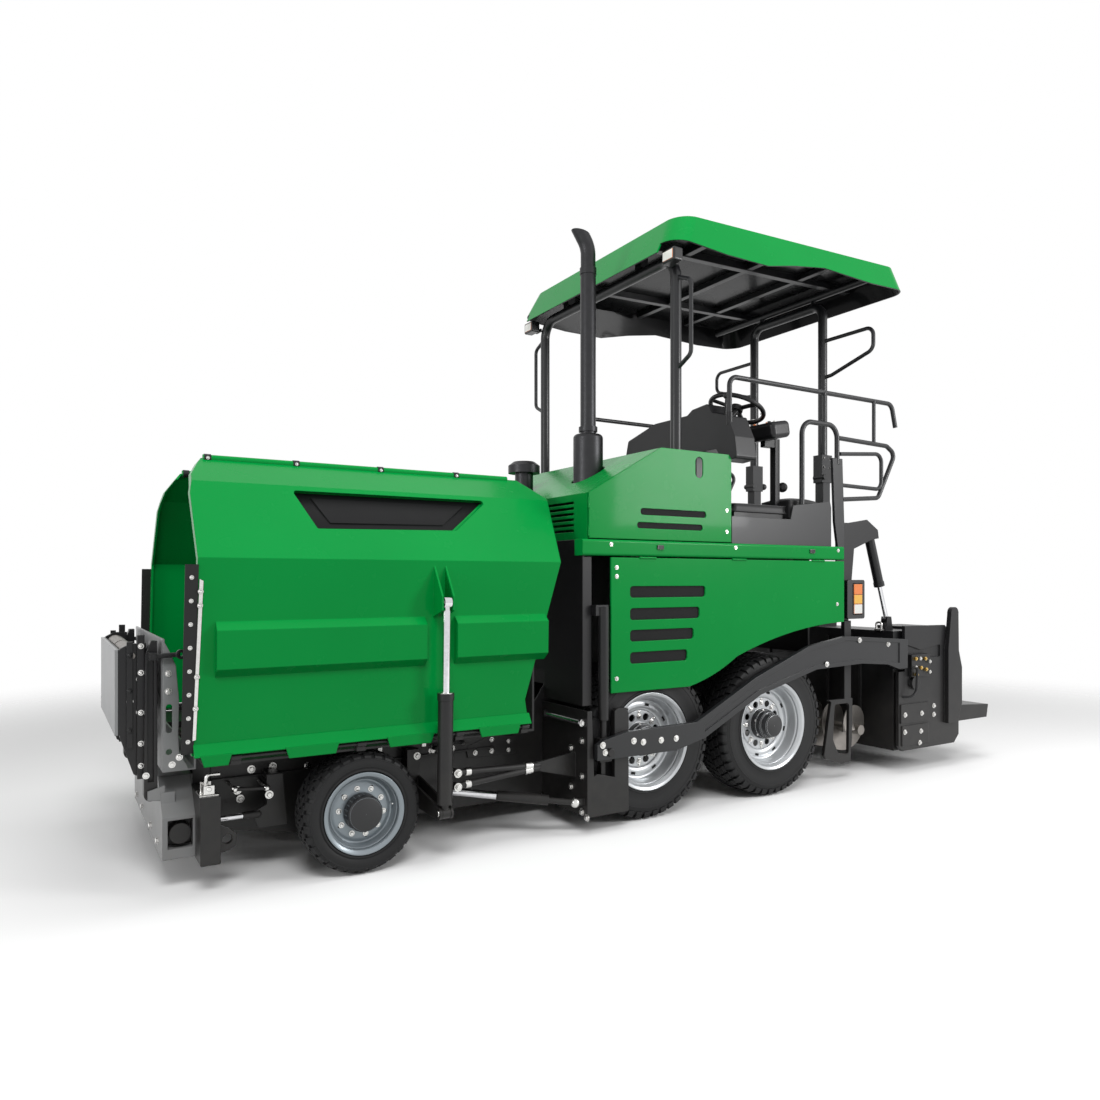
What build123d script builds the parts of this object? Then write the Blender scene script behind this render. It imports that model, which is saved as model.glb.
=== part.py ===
from build123d import *
import math
import os

os.makedirs("parts", exist_ok=True)

# Wheeled asphalt paver: hopper in front, engine behind it, operator's platform, screed at the back.
# Millimetres. +X forward, +Y to the machine's left, +Z up, origin on the ground under the middle.

# ---------------------------------------------------------------- driving dimensions
running_gap = 6            # between pieces that move past each other
pin_gap = 0.4              # round a pin, on the radius
plate = 12                 # frame plate
sheet = 8                  # body sheet

front_axle_x = 2020
front_tyre_radius = 290
front_tyre_width = 210
front_wheel_y = 765
front_rim_radius = 195
front_disc_y = 812         # wheel disc's middle
front_cap_y = 884          # outer end of the hub cap
front_hub_radius = 78
spindle_radius = 25
spindle_end_y = 840
kingpin_y = 705
kingpin_radius = 16
knuckle_y = 768            # face of the knuckle that carries the spindle
axle_height = 90           # depth of the front axle's end eye
front_lugs = 22

mid_axle_x = 295
rear_axle_x = -718
rear_tyre_radius = 455
rear_tyre_width = 280
rear_wheel_y = 715
rear_rim_radius = 285
rear_disc_y = 745
rear_cap_y = 862
rear_hub_radius = 78
stub_radius = 45
stub_end_y = 790
rear_lugs = 28
hand_holes = 8             # oval openings in a rear wheel's disc

frame_y = 445              # outer face of the frame's side plates
frame_bottom = 122
frame_rear_bottom = 340
frame_top = 590
frame_strip_bottom = 437   # channel along the frame's upper edge
frame_strip_depth = 24
frame_front_x = 2720
frame_rear_x = -1480
frame_head_x = 640         # the lower front part ends here
trough_bottom = 520        # underside of the conveyor's trough
tandem_y = 545             # outer face of the tandem beams
bracket_y = 600            # outer plates that hold the stay rods

hopper_front_x = 2760
hopper_rear_x = 1090
hopper_wall = 12
floor_top = 602
floor_half_width = 846
trough_half_width = 400
wing_pivot_y = 870
wing_pivot_z = 625
wing_crease_y = 888
wing_crease_z = 1495
wing_fold_y = 580
wing_fold_z = 1855
wing_top_y = 350
wing_top_z = 1990
wing_tube_radius = 18
wing_pin_radius = 8
wing_sheet = 8
pan_depth = 24             # recess in the wing's upper panel
rib_bottom = 975           # pressed rib along the wing's lower panel
rib_top = 1220
rib_depth = 26
lug_stations = [1150, 1530, 2040, 2605]           # hinge lugs on the hopper floor
knuckle_stations = [1312, 1800, 2276, 2690]       # hinge knuckles on the wing, behind its tabs
lug_half = 22
knuckle_half = 40
hinge_eye_radius = 15
wing_cylinder_x = 1640
wing_cylinder_foot = (935, 255)
wing_cylinder_head = (960, 1290)
wing_barrel_radius = 38
wing_barrel_length = 590
wing_rod_radius = 19

rail_y = 888               # outer face of the green side rail
rail_bottom = 1535
rail_top = 1627
rail_inner_y = 806
body_plate_y = (800, 812)  # upright plates of the body frame
body_front_x = 775
body_rear_x = -1360
bulkhead_half_width = 860
door_front_x = 600
door_bottom = 762
door_thick = 12
engine_x = (110, 690)
engine_half_width = 330
engine_z = (870, 1700)

hood_half_width = 840
hood_front_x = 728
hood_front_top = 1890
hood_peak_x = 206
hood_top = 2182
hood_rear_x = 90
hood_door_rear_x = -352

deck_top = 1450
deck_front_x = 80
deck_half_width = 800
dash_top = 1700
bench_top = 1800
bench_front_x = -358
bench_step_x = -884
bench_rear_x = -1280
bench_rear_top = 1915
bench_y = 846
bench_inner_y = 500
console_rail_z = 2460      # where the left top rail stands on the console
rail_plane_y = 820         # middle of the rails beside the platform
top_rail_y = 802
top_rail_z = 2688
rail_tube_radius = 16

tow_x = 660                # tow point, the axis about which the screed is lifted
tow_z = 450
tow_pin_radius = 22
tow_front_x = 787          # front face of the tow bracket
tow_bracket_y = 926
tow_bracket_top = 680
tow_bracket_bottom = 98
tow_column_y = 897
tow_column_radius = 30
tow_column_top = 1250
arm_y = 932                # inner face of the tow arms
arm_thick = 30
arm_rear_x = -1950

screed_front_x = -1900
screed_rear_x = -2560
screed_bottom = 170
screed_top = 1030
screed_half_width = 880
main_screed_rear_x = -2200
end_plate_y = 900
end_plate_thick = 25
screed_post_x = -2520
screed_post_top = 1150
footboard_rear_x = -3050
footboard_top = 450
footboard_bottom = 321
arm_seat_x = -1962         # screed block on which the arms are bolted

auger_x = -1650
auger_z = 330
auger_radius = 170
auger_half_length = 800
auger_shaft_radius = 35
auger_turns = 4
auger_bracket_y = 815

lift_top_x = -1780
lift_top_z = 1735
lift_foot_x = -1985
lift_foot_z = 1110
lift_y = 760
lift_pin_radius = 12
lift_barrel_radius = 34
lift_barrel_length = 400
lift_rod_radius = 16

canopy_front_x = 190
canopy_rear_x = -2090
canopy_half_width = 930
canopy_front_top = 3590
canopy_rise = 65           # how much higher the roof is at the back
canopy_rear_top = canopy_front_top + canopy_rise
canopy_depth = 230         # height of the skirt at the front
canopy_flare_x = 110       # how far the skirt leans out, lengthwise and across
canopy_flare_y = 60
canopy_corner = 130
canopy_sheet = 10
post_radius = 34
post_front_x = 31
post_front_y = 770
front_arch_drop = 220      # from the roof's top to the middle of each arch's crossbar
front_arch_z = canopy_front_top - front_arch_drop
work_lamp_drop = 74        # from that crossbar to the lamps' underside
work_lamp_height = 80
post_rear_x = -1770
post_rear_y = 357
rear_arch_drop = 155
rear_arch_z = canopy_rear_top - rear_arch_drop
rear_hinge_z = 2240

front_reach_x = 3050       # front face of the folded-up frame
folding_reach = 140        # from that face back to the frame's pivot
folding_pivot_x = front_reach_x - folding_reach
folding_pivot_z = 430
folding_top = 1124
folding_pin_radius = 12
folding_eye_radius = 28
folding_arm_y = (500, 560)
folding_cheek_y = (470, 500)
face_plate = 20
roller_setback = 68        # from the front face back to the rollers' pin
roller_x = front_reach_x - roller_setback
roller_z = 1055
roller_radius = 42
roller_pin_radius = 15

beam_front_x = 2872
beam_rear_x = 2735
beam_bottom = 150
beam_top = 490
beam_half_width = 640
bumper_y = (470, 775)
bumper_bottom = 137
bumper_top = 438
bumper_depth = 85
apron_half_width = 620
apron_bottom = 538
apron_sill_x = 2730        # where the apron meets the hopper floor
lashing_x = 2612
lashing_z = 225
lashing_y = (690, 715)
lashing_radius = 22

exhaust_x = 440
exhaust_y = 420
exhaust_radius = 48
muffler_radius = 92
muffler_top = 2300
exhaust_top = 3420
intake_x = 600
intake_y = -100
intake_radius = 60
intake_top = 2155


# ---------------------------------------------------------------- small helpers
def block(x_range, y_range, z_range):
    """A box between limits, each given as (low, high)."""
    spans = (x_range, y_range, z_range)
    size = [high - low for low, high in spans]
    centre = [(high + low) / 2 for low, high in spans]
    return Pos(*centre) * Box(*size)


def outline_face(points, rounding=0):
    """A flat face from its corners, all rounded by one radius if one is given."""
    face = make_face(Polyline(*points, close=True))
    if rounding:
        face = fillet(face.vertices(), rounding)
    return face


def side_sheet(points, y_low, y_high, rounding=0):
    """A plate whose outline is given as (x, z) corners."""
    face = Plane.XZ.offset(-y_low) * outline_face(points, rounding)
    return extrude(face, amount=-(y_high - y_low))


def cross_sheet(points, x_low, x_high, rounding=0):
    """A plate whose outline is given as (y, z) corners."""
    face = Plane.YZ.offset(x_low) * outline_face(points, rounding)
    return extrude(face, amount=x_high - x_low)


def slot(x_range, z_range, y_low, y_high):
    """A slot with round ends, lying along X, as the solid to be cut out."""
    width = x_range[1] - x_range[0]
    height = z_range[1] - z_range[0]
    shape = Pos(sum(x_range) / 2, sum(z_range) / 2) * SlotOverall(width, height)
    return extrude(Plane.XZ.offset(-y_low) * shape, amount=-(y_high - y_low))


def upright_slot(x_range, z_range, y_low, y_high):
    """The same with its length upright."""
    width = x_range[1] - x_range[0]
    height = z_range[1] - z_range[0]
    shape = Pos(sum(x_range) / 2, sum(z_range) / 2) * Rot(0, 0, 90) * SlotOverall(height, width)
    return extrude(Plane.XZ.offset(-y_low) * shape, amount=-(y_high - y_low))


def bar(start, end, radius):
    """A round bar between two points."""
    line = Vector(*end) - Vector(*start)
    return Solid.make_cylinder(radius, line.length, Plane(origin=start, z_dir=line))


def bent_bar(points, radius, bend):
    """A round bar that follows a polyline with rounded corners."""
    path = FilletPolyline(*points, radius=bend)
    section = Plane(origin=path @ 0, z_dir=path % 0) * Circle(radius)
    return sweep(section, path=path)


def turned(outline, x, z):
    """A body turned about an axis along Y at (x, z), from a face drawn in (radius, y)."""
    return Pos(x, 0, z) * revolve(outline, axis=Axis.Y)


def y_bar(x, z, y_low, y_high, radius):
    return bar((x, y_low, z), (x, y_high, z), radius)


def x_bar(y, z, x_low, x_high, radius):
    return bar((x_low, y, z), (x_high, y, z), radius)


def z_bar(x, y, z_low, z_high, radius):
    return bar((x, y, z_low), (x, y, z_high), radius)


def sorted_pair(a, b):
    return (min(a, b), max(a, b))


def on_side(side, span):
    """A span of Y on the left (side 1) or mirrored to the right (side -1)."""
    return sorted_pair(side * span[0], side * span[1])


def other_side(shape):
    return mirror(shape, about=Plane.XZ)


def both_sides(shape):
    return Compound([shape, other_side(shape)])


def save(name, shape):
    export_step(shape, f"parts/{name}.step")


def save_pair(name, left):
    save(f"{name}_left", left)
    save(f"{name}_right", other_side(left))


def joined(pieces):
    result = pieces[0]
    for piece in pieces[1:]:
        result = result + piece
    return result


# ---------------------------------------------------------------- wheels
def tyre(radius, width, rim_radius, lugs):
    """A tyre about the Y axis: bulged side walls, crowned tread, notches that leave lugs on the shoulders."""
    half = width / 2
    flange = 8
    shoulder_drop = 0.1 * radius
    crown_drop = 8
    bead = rim_radius - 20
    shoulder = (radius - shoulder_drop, half - 10)
    tread_edge = (radius - crown_drop, half - 34)
    bulge = ((rim_radius + radius) / 2, half)
    upper = [(bead, half - flange), (rim_radius, half - flange), bulge, shoulder, tread_edge]
    lower = [(r, -y) for r, y in upper]
    edges = [
        Line(lower[0], lower[1]),
        ThreePointArc(lower[1], lower[2], lower[3]),
        Line(lower[3], lower[4]),
        ThreePointArc(lower[4], (radius, 0), upper[4]),
        Line(upper[4], upper[3]),
        ThreePointArc(upper[3], upper[2], upper[1]),
        Line(upper[1], upper[0]),
        Line(upper[0], lower[0]),
    ]
    carcass = turned(make_face(edges), 0, 0)
    slope = math.degrees(math.atan2(shoulder_drop - crown_drop, 24))
    pitch = 360 / lugs
    groove = 0.42 * 2 * math.pi * radius / lugs
    tilt = 0.58 * slope
    notches = []
    for index in range(lugs):
        for side in (1, -1):
            turn = pitch * (index + 0.25 * side)
            corner = Pos(radius - shoulder_drop / 2, side * (half - 20), 0) * Rot(0, 0, side * tilt)
            notches.append(Rot(0, turn, 0) * corner * Box(22, 110, groove))
    return carcass - notches


def rim(width, rim_radius, disc_y, hub_radius, cap_y, bore_radius, bore_end_y):
    """Rim barrel with rolled flanges, dished disc, hub with a protruding cap and a blind bore."""
    half = width / 2
    wall = 10
    bead = rim_radius - 20
    inner = bead - wall
    cap_radius = 0.7 * hub_radius
    profile = [
        (bead, 8 - half), (rim_radius, 8 - half), (rim_radius, -half), (inner, -half),
        (inner, disc_y - 6), (hub_radius, disc_y - 6), (hub_radius, disc_y - 30),
               (bore_radius, disc_y - 30),
        (bore_radius, bore_end_y), (0, bore_end_y), (0, cap_y), (cap_radius - 8, cap_y),
        (cap_radius, cap_y - 8), (cap_radius, disc_y + 36), (hub_radius, disc_y + 28),
        (hub_radius + 8, disc_y + 6), (0.82 * bead, disc_y + 6), (inner, disc_y + 30), (inner, half - 26),
        (inner + 12, half - 8), (inner + 12, half), (rim_radius, half), (rim_radius, half - 8),
               (bead, half - 8),
    ]
    return turned(outline_face(profile), 0, 0)


def make_wheels():
    front_tyre = tyre(front_tyre_radius, front_tyre_width, front_rim_radius, front_lugs)
    front_rim = rim(front_tyre_width, front_rim_radius, front_disc_y - front_wheel_y, front_hub_radius,
                    front_cap_y - front_wheel_y, spindle_radius + pin_gap,
                    spindle_end_y + 6 - front_wheel_y)
    rear_tyre = tyre(rear_tyre_radius, rear_tyre_width, rear_rim_radius, rear_lugs)
    rear_rim = rim(rear_tyre_width, rear_rim_radius, rear_disc_y - rear_wheel_y, rear_hub_radius,
                   rear_cap_y - rear_wheel_y, stub_radius + pin_gap, stub_end_y + 10 - rear_wheel_y)
    # oval hand holes between hub and rim
    hole_radius = 0.68 * rear_rim_radius
    hole = Rot(90, 0, 0) * extrude(SlotOverall(74, 34), amount=60, both=True)
    for index in range(hand_holes):
        turn = 360 / hand_holes * (index + 0.5)
        rear_rim = rear_rim - Rot(0, turn, 0) * Pos(0, rear_disc_y - rear_wheel_y, hole_radius) * hole
    # name, axle station, wheel's middle, radius, tyre, rim
    wheels = [
        ("front", front_axle_x, front_wheel_y, front_tyre_radius, front_tyre, front_rim),
        ("mid", mid_axle_x, rear_wheel_y, rear_tyre_radius, rear_tyre, rear_rim),
        ("rear", rear_axle_x, rear_wheel_y, rear_tyre_radius, rear_tyre, rear_rim),
    ]
    for name, axle_x, wheel_y, radius, wheel_tyre, wheel_rim in wheels:
        save_pair(f"{name}_tyre", Pos(axle_x, wheel_y, radius) * wheel_tyre)
        save_pair(f"{name}_rim", Pos(axle_x, wheel_y, radius) * wheel_rim)


# ---------------------------------------------------------------- steering
def make_front_axle():
    z = front_tyre_radius
    eye_half = axle_height / 2
    beam_end_y = kingpin_y - 75
    beam = cross_sheet([(-beam_end_y, z - 35), (-300, z - 60), (300, z - 60), (beam_end_y, z - 35),
                        (beam_end_y, z + 35), (-beam_end_y, z + 35)], front_axle_x - 45, front_axle_x + 45)
    axle = beam + block((front_axle_x - 70, front_axle_x + 70), (-60, 60), (z, 430))
    for side in (1, -1):
        eye = z_bar(front_axle_x, side * kingpin_y, z - eye_half, z + eye_half, 32)
        neck = block((front_axle_x - 28, front_axle_x + 28), on_side(side, (beam_end_y - 5, kingpin_y)),
                     (z - 35, z + 35))
        axle = axle + neck + eye
        axle = axle - z_bar(front_axle_x, side * kingpin_y, z - 100, z + 100, kingpin_radius + pin_gap)
    save("front_axle", axle)

    cheek = 18
    gap = 2
    pin = z_bar(front_axle_x, kingpin_y, z - eye_half - 20, z + eye_half + 20, kingpin_radius)
    cheeks = []
    for low in (z - eye_half - gap - cheek, z + eye_half + gap):
        cheeks.append(block((front_axle_x - 30, front_axle_x + 30), (kingpin_y - 28, knuckle_y - 3),
                            (low, low + cheek)))
    upright = block((front_axle_x - 34, front_axle_x + 34), (knuckle_y - 18, knuckle_y),
                    (z - eye_half - gap - cheek, z + eye_half + gap + cheek))
    spindle = y_bar(front_axle_x, z, knuckle_y, spindle_end_y, spindle_radius)
    save_pair("knuckle", joined([pin, *cheeks, upright, spindle]))


# ---------------------------------------------------------------- chassis
def make_frame():
    """Two side plates, and between them the cross beams with the outriggers of the wing cylinders."""
    outline = [
        (frame_front_x, frame_bottom + 130), (frame_front_x, frame_top), (900, frame_top),
        (700, 880), (-1380, 880), (frame_rear_x, 700), (frame_rear_x, 420),
        (-1350, frame_rear_bottom), (frame_head_x - 60, frame_rear_bottom),
               (frame_head_x + 160, frame_bottom),
        (2210, frame_bottom), (2560, frame_bottom + 70),
    ]
    side_plate = side_sheet(outline, frame_y - plate, frame_y)
    # arch over the front axle
    side_plate = side_plate - side_sheet([(front_axle_x - 110, 0), (front_axle_x + 110, 0),
                                          (front_axle_x + 110, 370),
                                          (front_axle_x - 110, 370)], frame_y - 20, frame_y + 5, 30)
    strip = block((1124, 2640), (frame_y, frame_y + frame_strip_depth), (frame_strip_bottom, frame_top - 8))
    strip = strip - block((1120, 2650), (frame_y + 8, frame_y + 40),
                          (frame_strip_bottom + 10, frame_top - 20))
    save("main_frame", both_sides(side_plate + strip))

    inner = frame_y - plate
    # cross beams: station, half length along X, bottom, top
    beams = [
        (2660, 40, 380, trough_bottom), (2020, 75, 430, trough_bottom),
             (wing_cylinder_x, 36, 430, trough_bottom),
        (1130, 40, 380, trough_bottom), (600, 50, 750, 870), (-200, 50, 700, 850), (-1300, 50, 700, 850),
    ]
    members = [block((x - half, x + half), (-inner, inner), (low, high)) for x, half, low, high in beams]
    foot_y, foot_z = wing_cylinder_foot
    web = block((wing_cylinder_x - 36, wing_cylinder_x + 36), (frame_y + frame_strip_depth, frame_y + 90),
                (foot_z - 30, frame_strip_bottom + 60))
    web = web + block((wing_cylinder_x - 36, wing_cylinder_x + 36), (frame_y, frame_y + 30),
                      (foot_z - 30, frame_strip_bottom))
    outrigger = web + x_bar(foot_y, foot_z, wing_cylinder_x - 42, wing_cylinder_x + 42, 12)
    for offset in (-30, 30):
        x = wing_cylinder_x + offset
        strap = cross_sheet([(frame_y, foot_z - 30), (foot_y, foot_z - 30), (foot_y, foot_z + 30),
                             (frame_y + 90, foot_z + 100), (frame_y, foot_z + 100)], x - 6, x + 6)
        outrigger = outrigger + strap + x_bar(foot_y, foot_z, x - 6, x + 6, 30)
    # hanger plate behind the bumper block, and the short rod that ties them
    hanger = side_sheet([(2316, 222), (2452, 221), (2480, 300), (2414, 331), (2414, 470), (2338, 470)],
                        bracket_y - 6, bracket_y + 6)
    hanger = hanger + block((2345, 2405), (frame_y + frame_strip_depth, bracket_y),
                            (frame_strip_bottom + 3, 468))
    hanger = hanger + x_bar(bracket_y, 290, 2440, beam_rear_x - bumper_depth, 11)
    members += [outrigger, other_side(outrigger), hanger, other_side(hanger)]
    save("cross_members", Compound(members))

    # tandem beams that carry the four rear wheels
    beam = side_sheet([(mid_axle_x + 120, 400), (mid_axle_x + 120, 500), (mid_axle_x + 60, 525),
                       (rear_axle_x - 60, 525), (rear_axle_x - 120, 500), (rear_axle_x - 120, 400),
                       (rear_axle_x - 60, 385), (mid_axle_x + 60, 385)], frame_y, tandem_y)
    for axle_x in (mid_axle_x, rear_axle_x):
        beam = beam + y_bar(axle_x, rear_tyre_radius, tandem_y, stub_end_y, stub_radius)
    save("tandem_beams", both_sides(beam))

    save("engine_block", block(engine_x, (-engine_half_width, engine_half_width), engine_z))


def make_bulkheads():
    """Front bulkhead behind the hopper and the frame that carries the side rails."""
    half = bulkhead_half_width
    front = block((body_front_x - 10, body_front_x), (-half, half), (tow_bracket_top + 20, rail_top))
    front = front - block((body_front_x - 20, body_front_x + 10), (-frame_y, frame_y), (frame_top, 860))
    # turned edges along its sides
    for side in (1, -1):
        front = front + block((body_front_x - 60, body_front_x), on_side(side, (half - 10, half)),
                              (tow_bracket_top + 20, rail_bottom - 6))
    post = side_sheet([(-1375, 1115), (-1375, bench_top), (-1500, bench_top), (-1560, 1620),
                       (-1500, 1115)], *body_plate_y)
    gusset = block((-1387, -1375), (560, 860), (1115, rail_top - 100))
    head = side_sheet([(-1500, 1800), (-1700, 1830), (-1820, 1760), (-1830, 1700), (-1760, 1690),
                       (-1560, 1620)], *body_plate_y)
    pillar = post + gusset + head + y_bar(lift_top_x, lift_top_z, lift_y - 22, body_plate_y[1],
                                          lift_pin_radius)
    cross = block((-1392, -1375), (-560, 560), (880, rail_top))
    save("body_frame", Compound([front, joined([pillar, other_side(pillar), cross])]))

    rail = block((body_rear_x, body_front_x + 18), (rail_inner_y, rail_y), (rail_bottom, rail_top))
    rail = fillet(rail.edges().filter_by(Axis.X).sort_by(Axis.Y)[-2:], 14)
    rail = rail - block((body_rear_x - 1, body_front_x - 20), (rail_inner_y + sheet, rail_y - sheet),
                        (rail_bottom + sheet, rail_top - sheet))
    rail = rail - block((body_front_x - 11, body_front_x + 0.5), (700, half + 1),
                        (rail_bottom - 1, rail_top + 1))
    save("side_rails", both_sides(rail))


# ---------------------------------------------------------------- hopper
def make_hopper():
    front = hopper_front_x - 30
    half = floor_half_width
    trough = trough_half_width
    floor = block((hopper_rear_x - hopper_wall, front), (-half, half), (floor_top - plate, floor_top))
    # conveyor trough along the middle
    floor = floor - block((hopper_rear_x - 1, hopper_front_x), (-trough, trough),
                          (floor_top - 20, floor_top + 1))
    for side in (1, -1):
        floor = floor + block((hopper_rear_x, front), on_side(side, (trough, trough + hopper_wall)),
                              (trough_bottom, floor_top))
    # rear wall with the conveyor's way through
    wall = cross_sheet([(-half, floor_top), (half, floor_top), (half, 1450), (520, 1820), (-520, 1820),
                        (-half, 1450)],
                       hopper_rear_x - hopper_wall, hopper_rear_x)
    wall = wall - block((hopper_rear_x - 20, hopper_rear_x + 1), (-trough, trough), (floor_top - 1, 860))
    floor = floor + wall
    for side in (1, -1):
        pivot_y = side * wing_pivot_y
        for x in lug_stations:
            arm = block((x - lug_half, x + lug_half), on_side(side, (half - 16, wing_pivot_y)),
                        (floor_top - plate, wing_pivot_z - 2))
            floor = floor + x_bar(pivot_y, wing_pivot_z, x - lug_half, x + lug_half, hinge_eye_radius) + arm
        floor = floor + x_bar(pivot_y, wing_pivot_z, lug_stations[0] - lug_half,
                              knuckle_stations[-1] + knuckle_half + 4, wing_pin_radius)
    save("hopper_floor", floor)

    # conveyor: bed, four drag chains and the slats between them, from the hopper back to the auger
    front = hopper_front_x - 40
    rear = auger_x + 230
    bed = block((rear, front), (-trough, trough), (trough_bottom, trough_bottom + plate))
    chain_z = (trough_bottom + plate, trough_bottom + 36)
    chains = [block((rear + 10, front - 10), (y - 20, y + 20), chain_z) for y in (-370, -24, 24, 370)]
    slat_pitch = 115
    slats = []
    for index in range(int((front - rear - 60) / slat_pitch)):
        x = front - 60 - slat_pitch * index
        slats.append(block((x - 16, x + 16), (10 - trough, trough - 10),
                           (trough_bottom + 26, trough_bottom + 50)))
    save("conveyor", joined([bed, *chains, *slats]))


def wing_line():
    """The wing's folded sheet seen from the front, as (y, z) points from the hinge upwards."""
    return [(wing_pivot_y - 10, wing_pivot_z + 20), (wing_crease_y - 6, wing_crease_z),
            (wing_fold_y, wing_fold_z),
            (wing_top_y, wing_top_z)]


def wing_profile(inward, outward):
    """Outline (y, z) of the folded sheet between two offsets from its middle line."""
    line = wing_line()
    outer = []
    inner = []
    for index, (y, z) in enumerate(line):
        before = line[max(index - 1, 0)]
        after = line[min(index + 1, len(line) - 1)]
        angle = math.atan2(after[1] - before[1], after[0] - before[0])
        normal = (math.sin(angle), -math.cos(angle))
        outer.append((y + outward * normal[0], z + outward * normal[1]))
        inner.append((y - inward * normal[0], z - inward * normal[1]))
    return outer + inner[::-1]


def make_wings():
    half_sheet = wing_sheet / 2
    bottom = wing_pivot_z - 25
    above = wing_top_z + 70
    front_edge = [(2784, bottom), (2762, wing_crease_z), (2758, wing_fold_z - 60), (2736, wing_fold_z + 40),
                  (2694, wing_top_z - 30), (2620, above)]
    rear_edge = [(960, above), (830, wing_fold_z + 20), (933, wing_crease_z), (1146, wing_pivot_z + 141),
                 (1118, bottom)]
    panel = cross_sheet(wing_profile(half_sheet, half_sheet), 700, 2900)
    wing = panel & side_sheet(front_edge + rear_edge, 200, 1100)
    # folded lip along the front edge
    lip_width = 12
    lip = cross_sheet(wing_profile(38, half_sheet), 2500, 2900)
    strip = front_edge + [(x - lip_width, z) for x, z in front_edge[::-1]]
    wing = wing + (lip & side_sheet(strip, 200, 1100))
    # trapezoid recess in the upper panel: a hole in the sheet with a shallow pan behind it
    window = [(2296, wing_fold_z - 22), (2214, wing_fold_z - 215), (1490, wing_fold_z - 200),
              (1236, wing_fold_z - 22)]
    border = [(2312, wing_fold_z - 12), (2224, wing_fold_z - 228), (1484, wing_fold_z - 212),
              (1206, wing_fold_z - 12)]
    span = (wing_fold_y - 80, wing_crease_y - 20)
    hole = side_sheet(window, *span, 14)
    pan_area = side_sheet(border, *span, 20)
    floor = cross_sheet(wing_profile(pan_depth + 6, -pan_depth), 1100, 2400)
    walls = cross_sheet(wing_profile(pan_depth + 6, 0), 1100, 2400)
    wing = wing - hole + (floor & pan_area) + ((walls & pan_area) - hole)
    # pressed rib along the lower panel, open where the cylinder stands
    foot = wing_pivot_y
    rib = cross_sheet([(foot, rib_bottom), (foot + rib_depth + 18, rib_bottom + 38),
                       (foot + rib_depth + 22, rib_top - 38),
                       (foot + 8, rib_top)], 1030, 2690)
    rib = rib - block((wing_cylinder_x - 80, wing_cylinder_x + 80), (foot - 60, foot + 120),
                      (rib_bottom - 50, rib_top + 50))
    wing = wing + rib
    # rolled edge on top
    wing = wing + x_bar(wing_top_y, wing_top_z + 4, 980, 2660, wing_tube_radius)
    # flared bottom flange, and the tabs that hang over the hinge's knuckles
    flange = cross_sheet([(foot - 8, wing_pivot_z + 66), (foot + 22, wing_pivot_z + 17),
                          (foot + 30, wing_pivot_z + 17),
                          (foot, wing_pivot_z + 70)], 1124, 2778)
    wing = wing + flange
    for x in knuckle_stations:
        reach = 106 if x < knuckle_stations[-1] else 49
        tab = side_sheet([(x - reach - 16, wing_pivot_z + 24), (x - reach, wing_pivot_z - 26),
                          (x + reach, wing_pivot_z - 26), (x + reach + 16, wing_pivot_z + 24)],
                         foot + 22, foot + 30)
        wing = wing + tab
        web = block((x - knuckle_half, x + knuckle_half), (foot - 14, foot + 2),
                    (wing_pivot_z, wing_pivot_z + 60))
        wing = wing + web + x_bar(foot, wing_pivot_z, x - knuckle_half, x + knuckle_half, hinge_eye_radius)
    wing = wing - x_bar(wing_pivot_y, wing_pivot_z, 1100, 2790, wing_pin_radius + pin_gap)
    # gussets that hold the cylinder's rod
    head_y, head_z = wing_cylinder_head
    for offset in (-30, 30):
        gusset = cross_sheet([(foot + 6, head_z - 75), (head_y + 22, head_z - 40),
                              (head_y + 22, head_z + 30),
                              (foot + 14, head_z + 180)], wing_cylinder_x + offset - 5,
                             wing_cylinder_x + offset + 5)
        wing = wing + gusset
    save_pair("wing", wing)


def make_wing_cylinders():
    """A barrel on the outrigger's pin and a rod on the wing, open at the rod's eye."""
    foot = Vector(wing_cylinder_x, *wing_cylinder_foot)
    head = Vector(wing_cylinder_x, *wing_cylinder_head)
    along = (head - foot).normalized()
    end = foot + along * wing_barrel_length
    eye_half = 22
    eye_radius = 28
    foot_y, foot_z = wing_cylinder_foot
    head_y, head_z = wing_cylinder_head
    low, high = wing_cylinder_x - eye_half, wing_cylinder_x + eye_half
    barrel = bar(tuple(foot + along * 44), tuple(end), wing_barrel_radius)
    barrel = barrel + bar(tuple(end - along * 34), tuple(end), wing_barrel_radius + 4)
    barrel = barrel + x_bar(foot_y, foot_z, low, high, eye_radius) + bar(tuple(foot + along * 10),
                                                                         tuple(foot + along * 50), 20)
    barrel = barrel - x_bar(foot_y, foot_z, low - 20, high + 20, 12 + pin_gap)
    barrel = barrel - bar(tuple(foot + along * 120), tuple(end + along * 20), wing_rod_radius + pin_gap)
    save_pair("wing_barrel", barrel)
    rod = bar(tuple(end - along * 205), tuple(head - along * 20), wing_rod_radius)
    rod = rod + x_bar(head_y, head_z, low + 3, high - 3, eye_radius)
    save_pair("wing_rod", rod)


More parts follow.
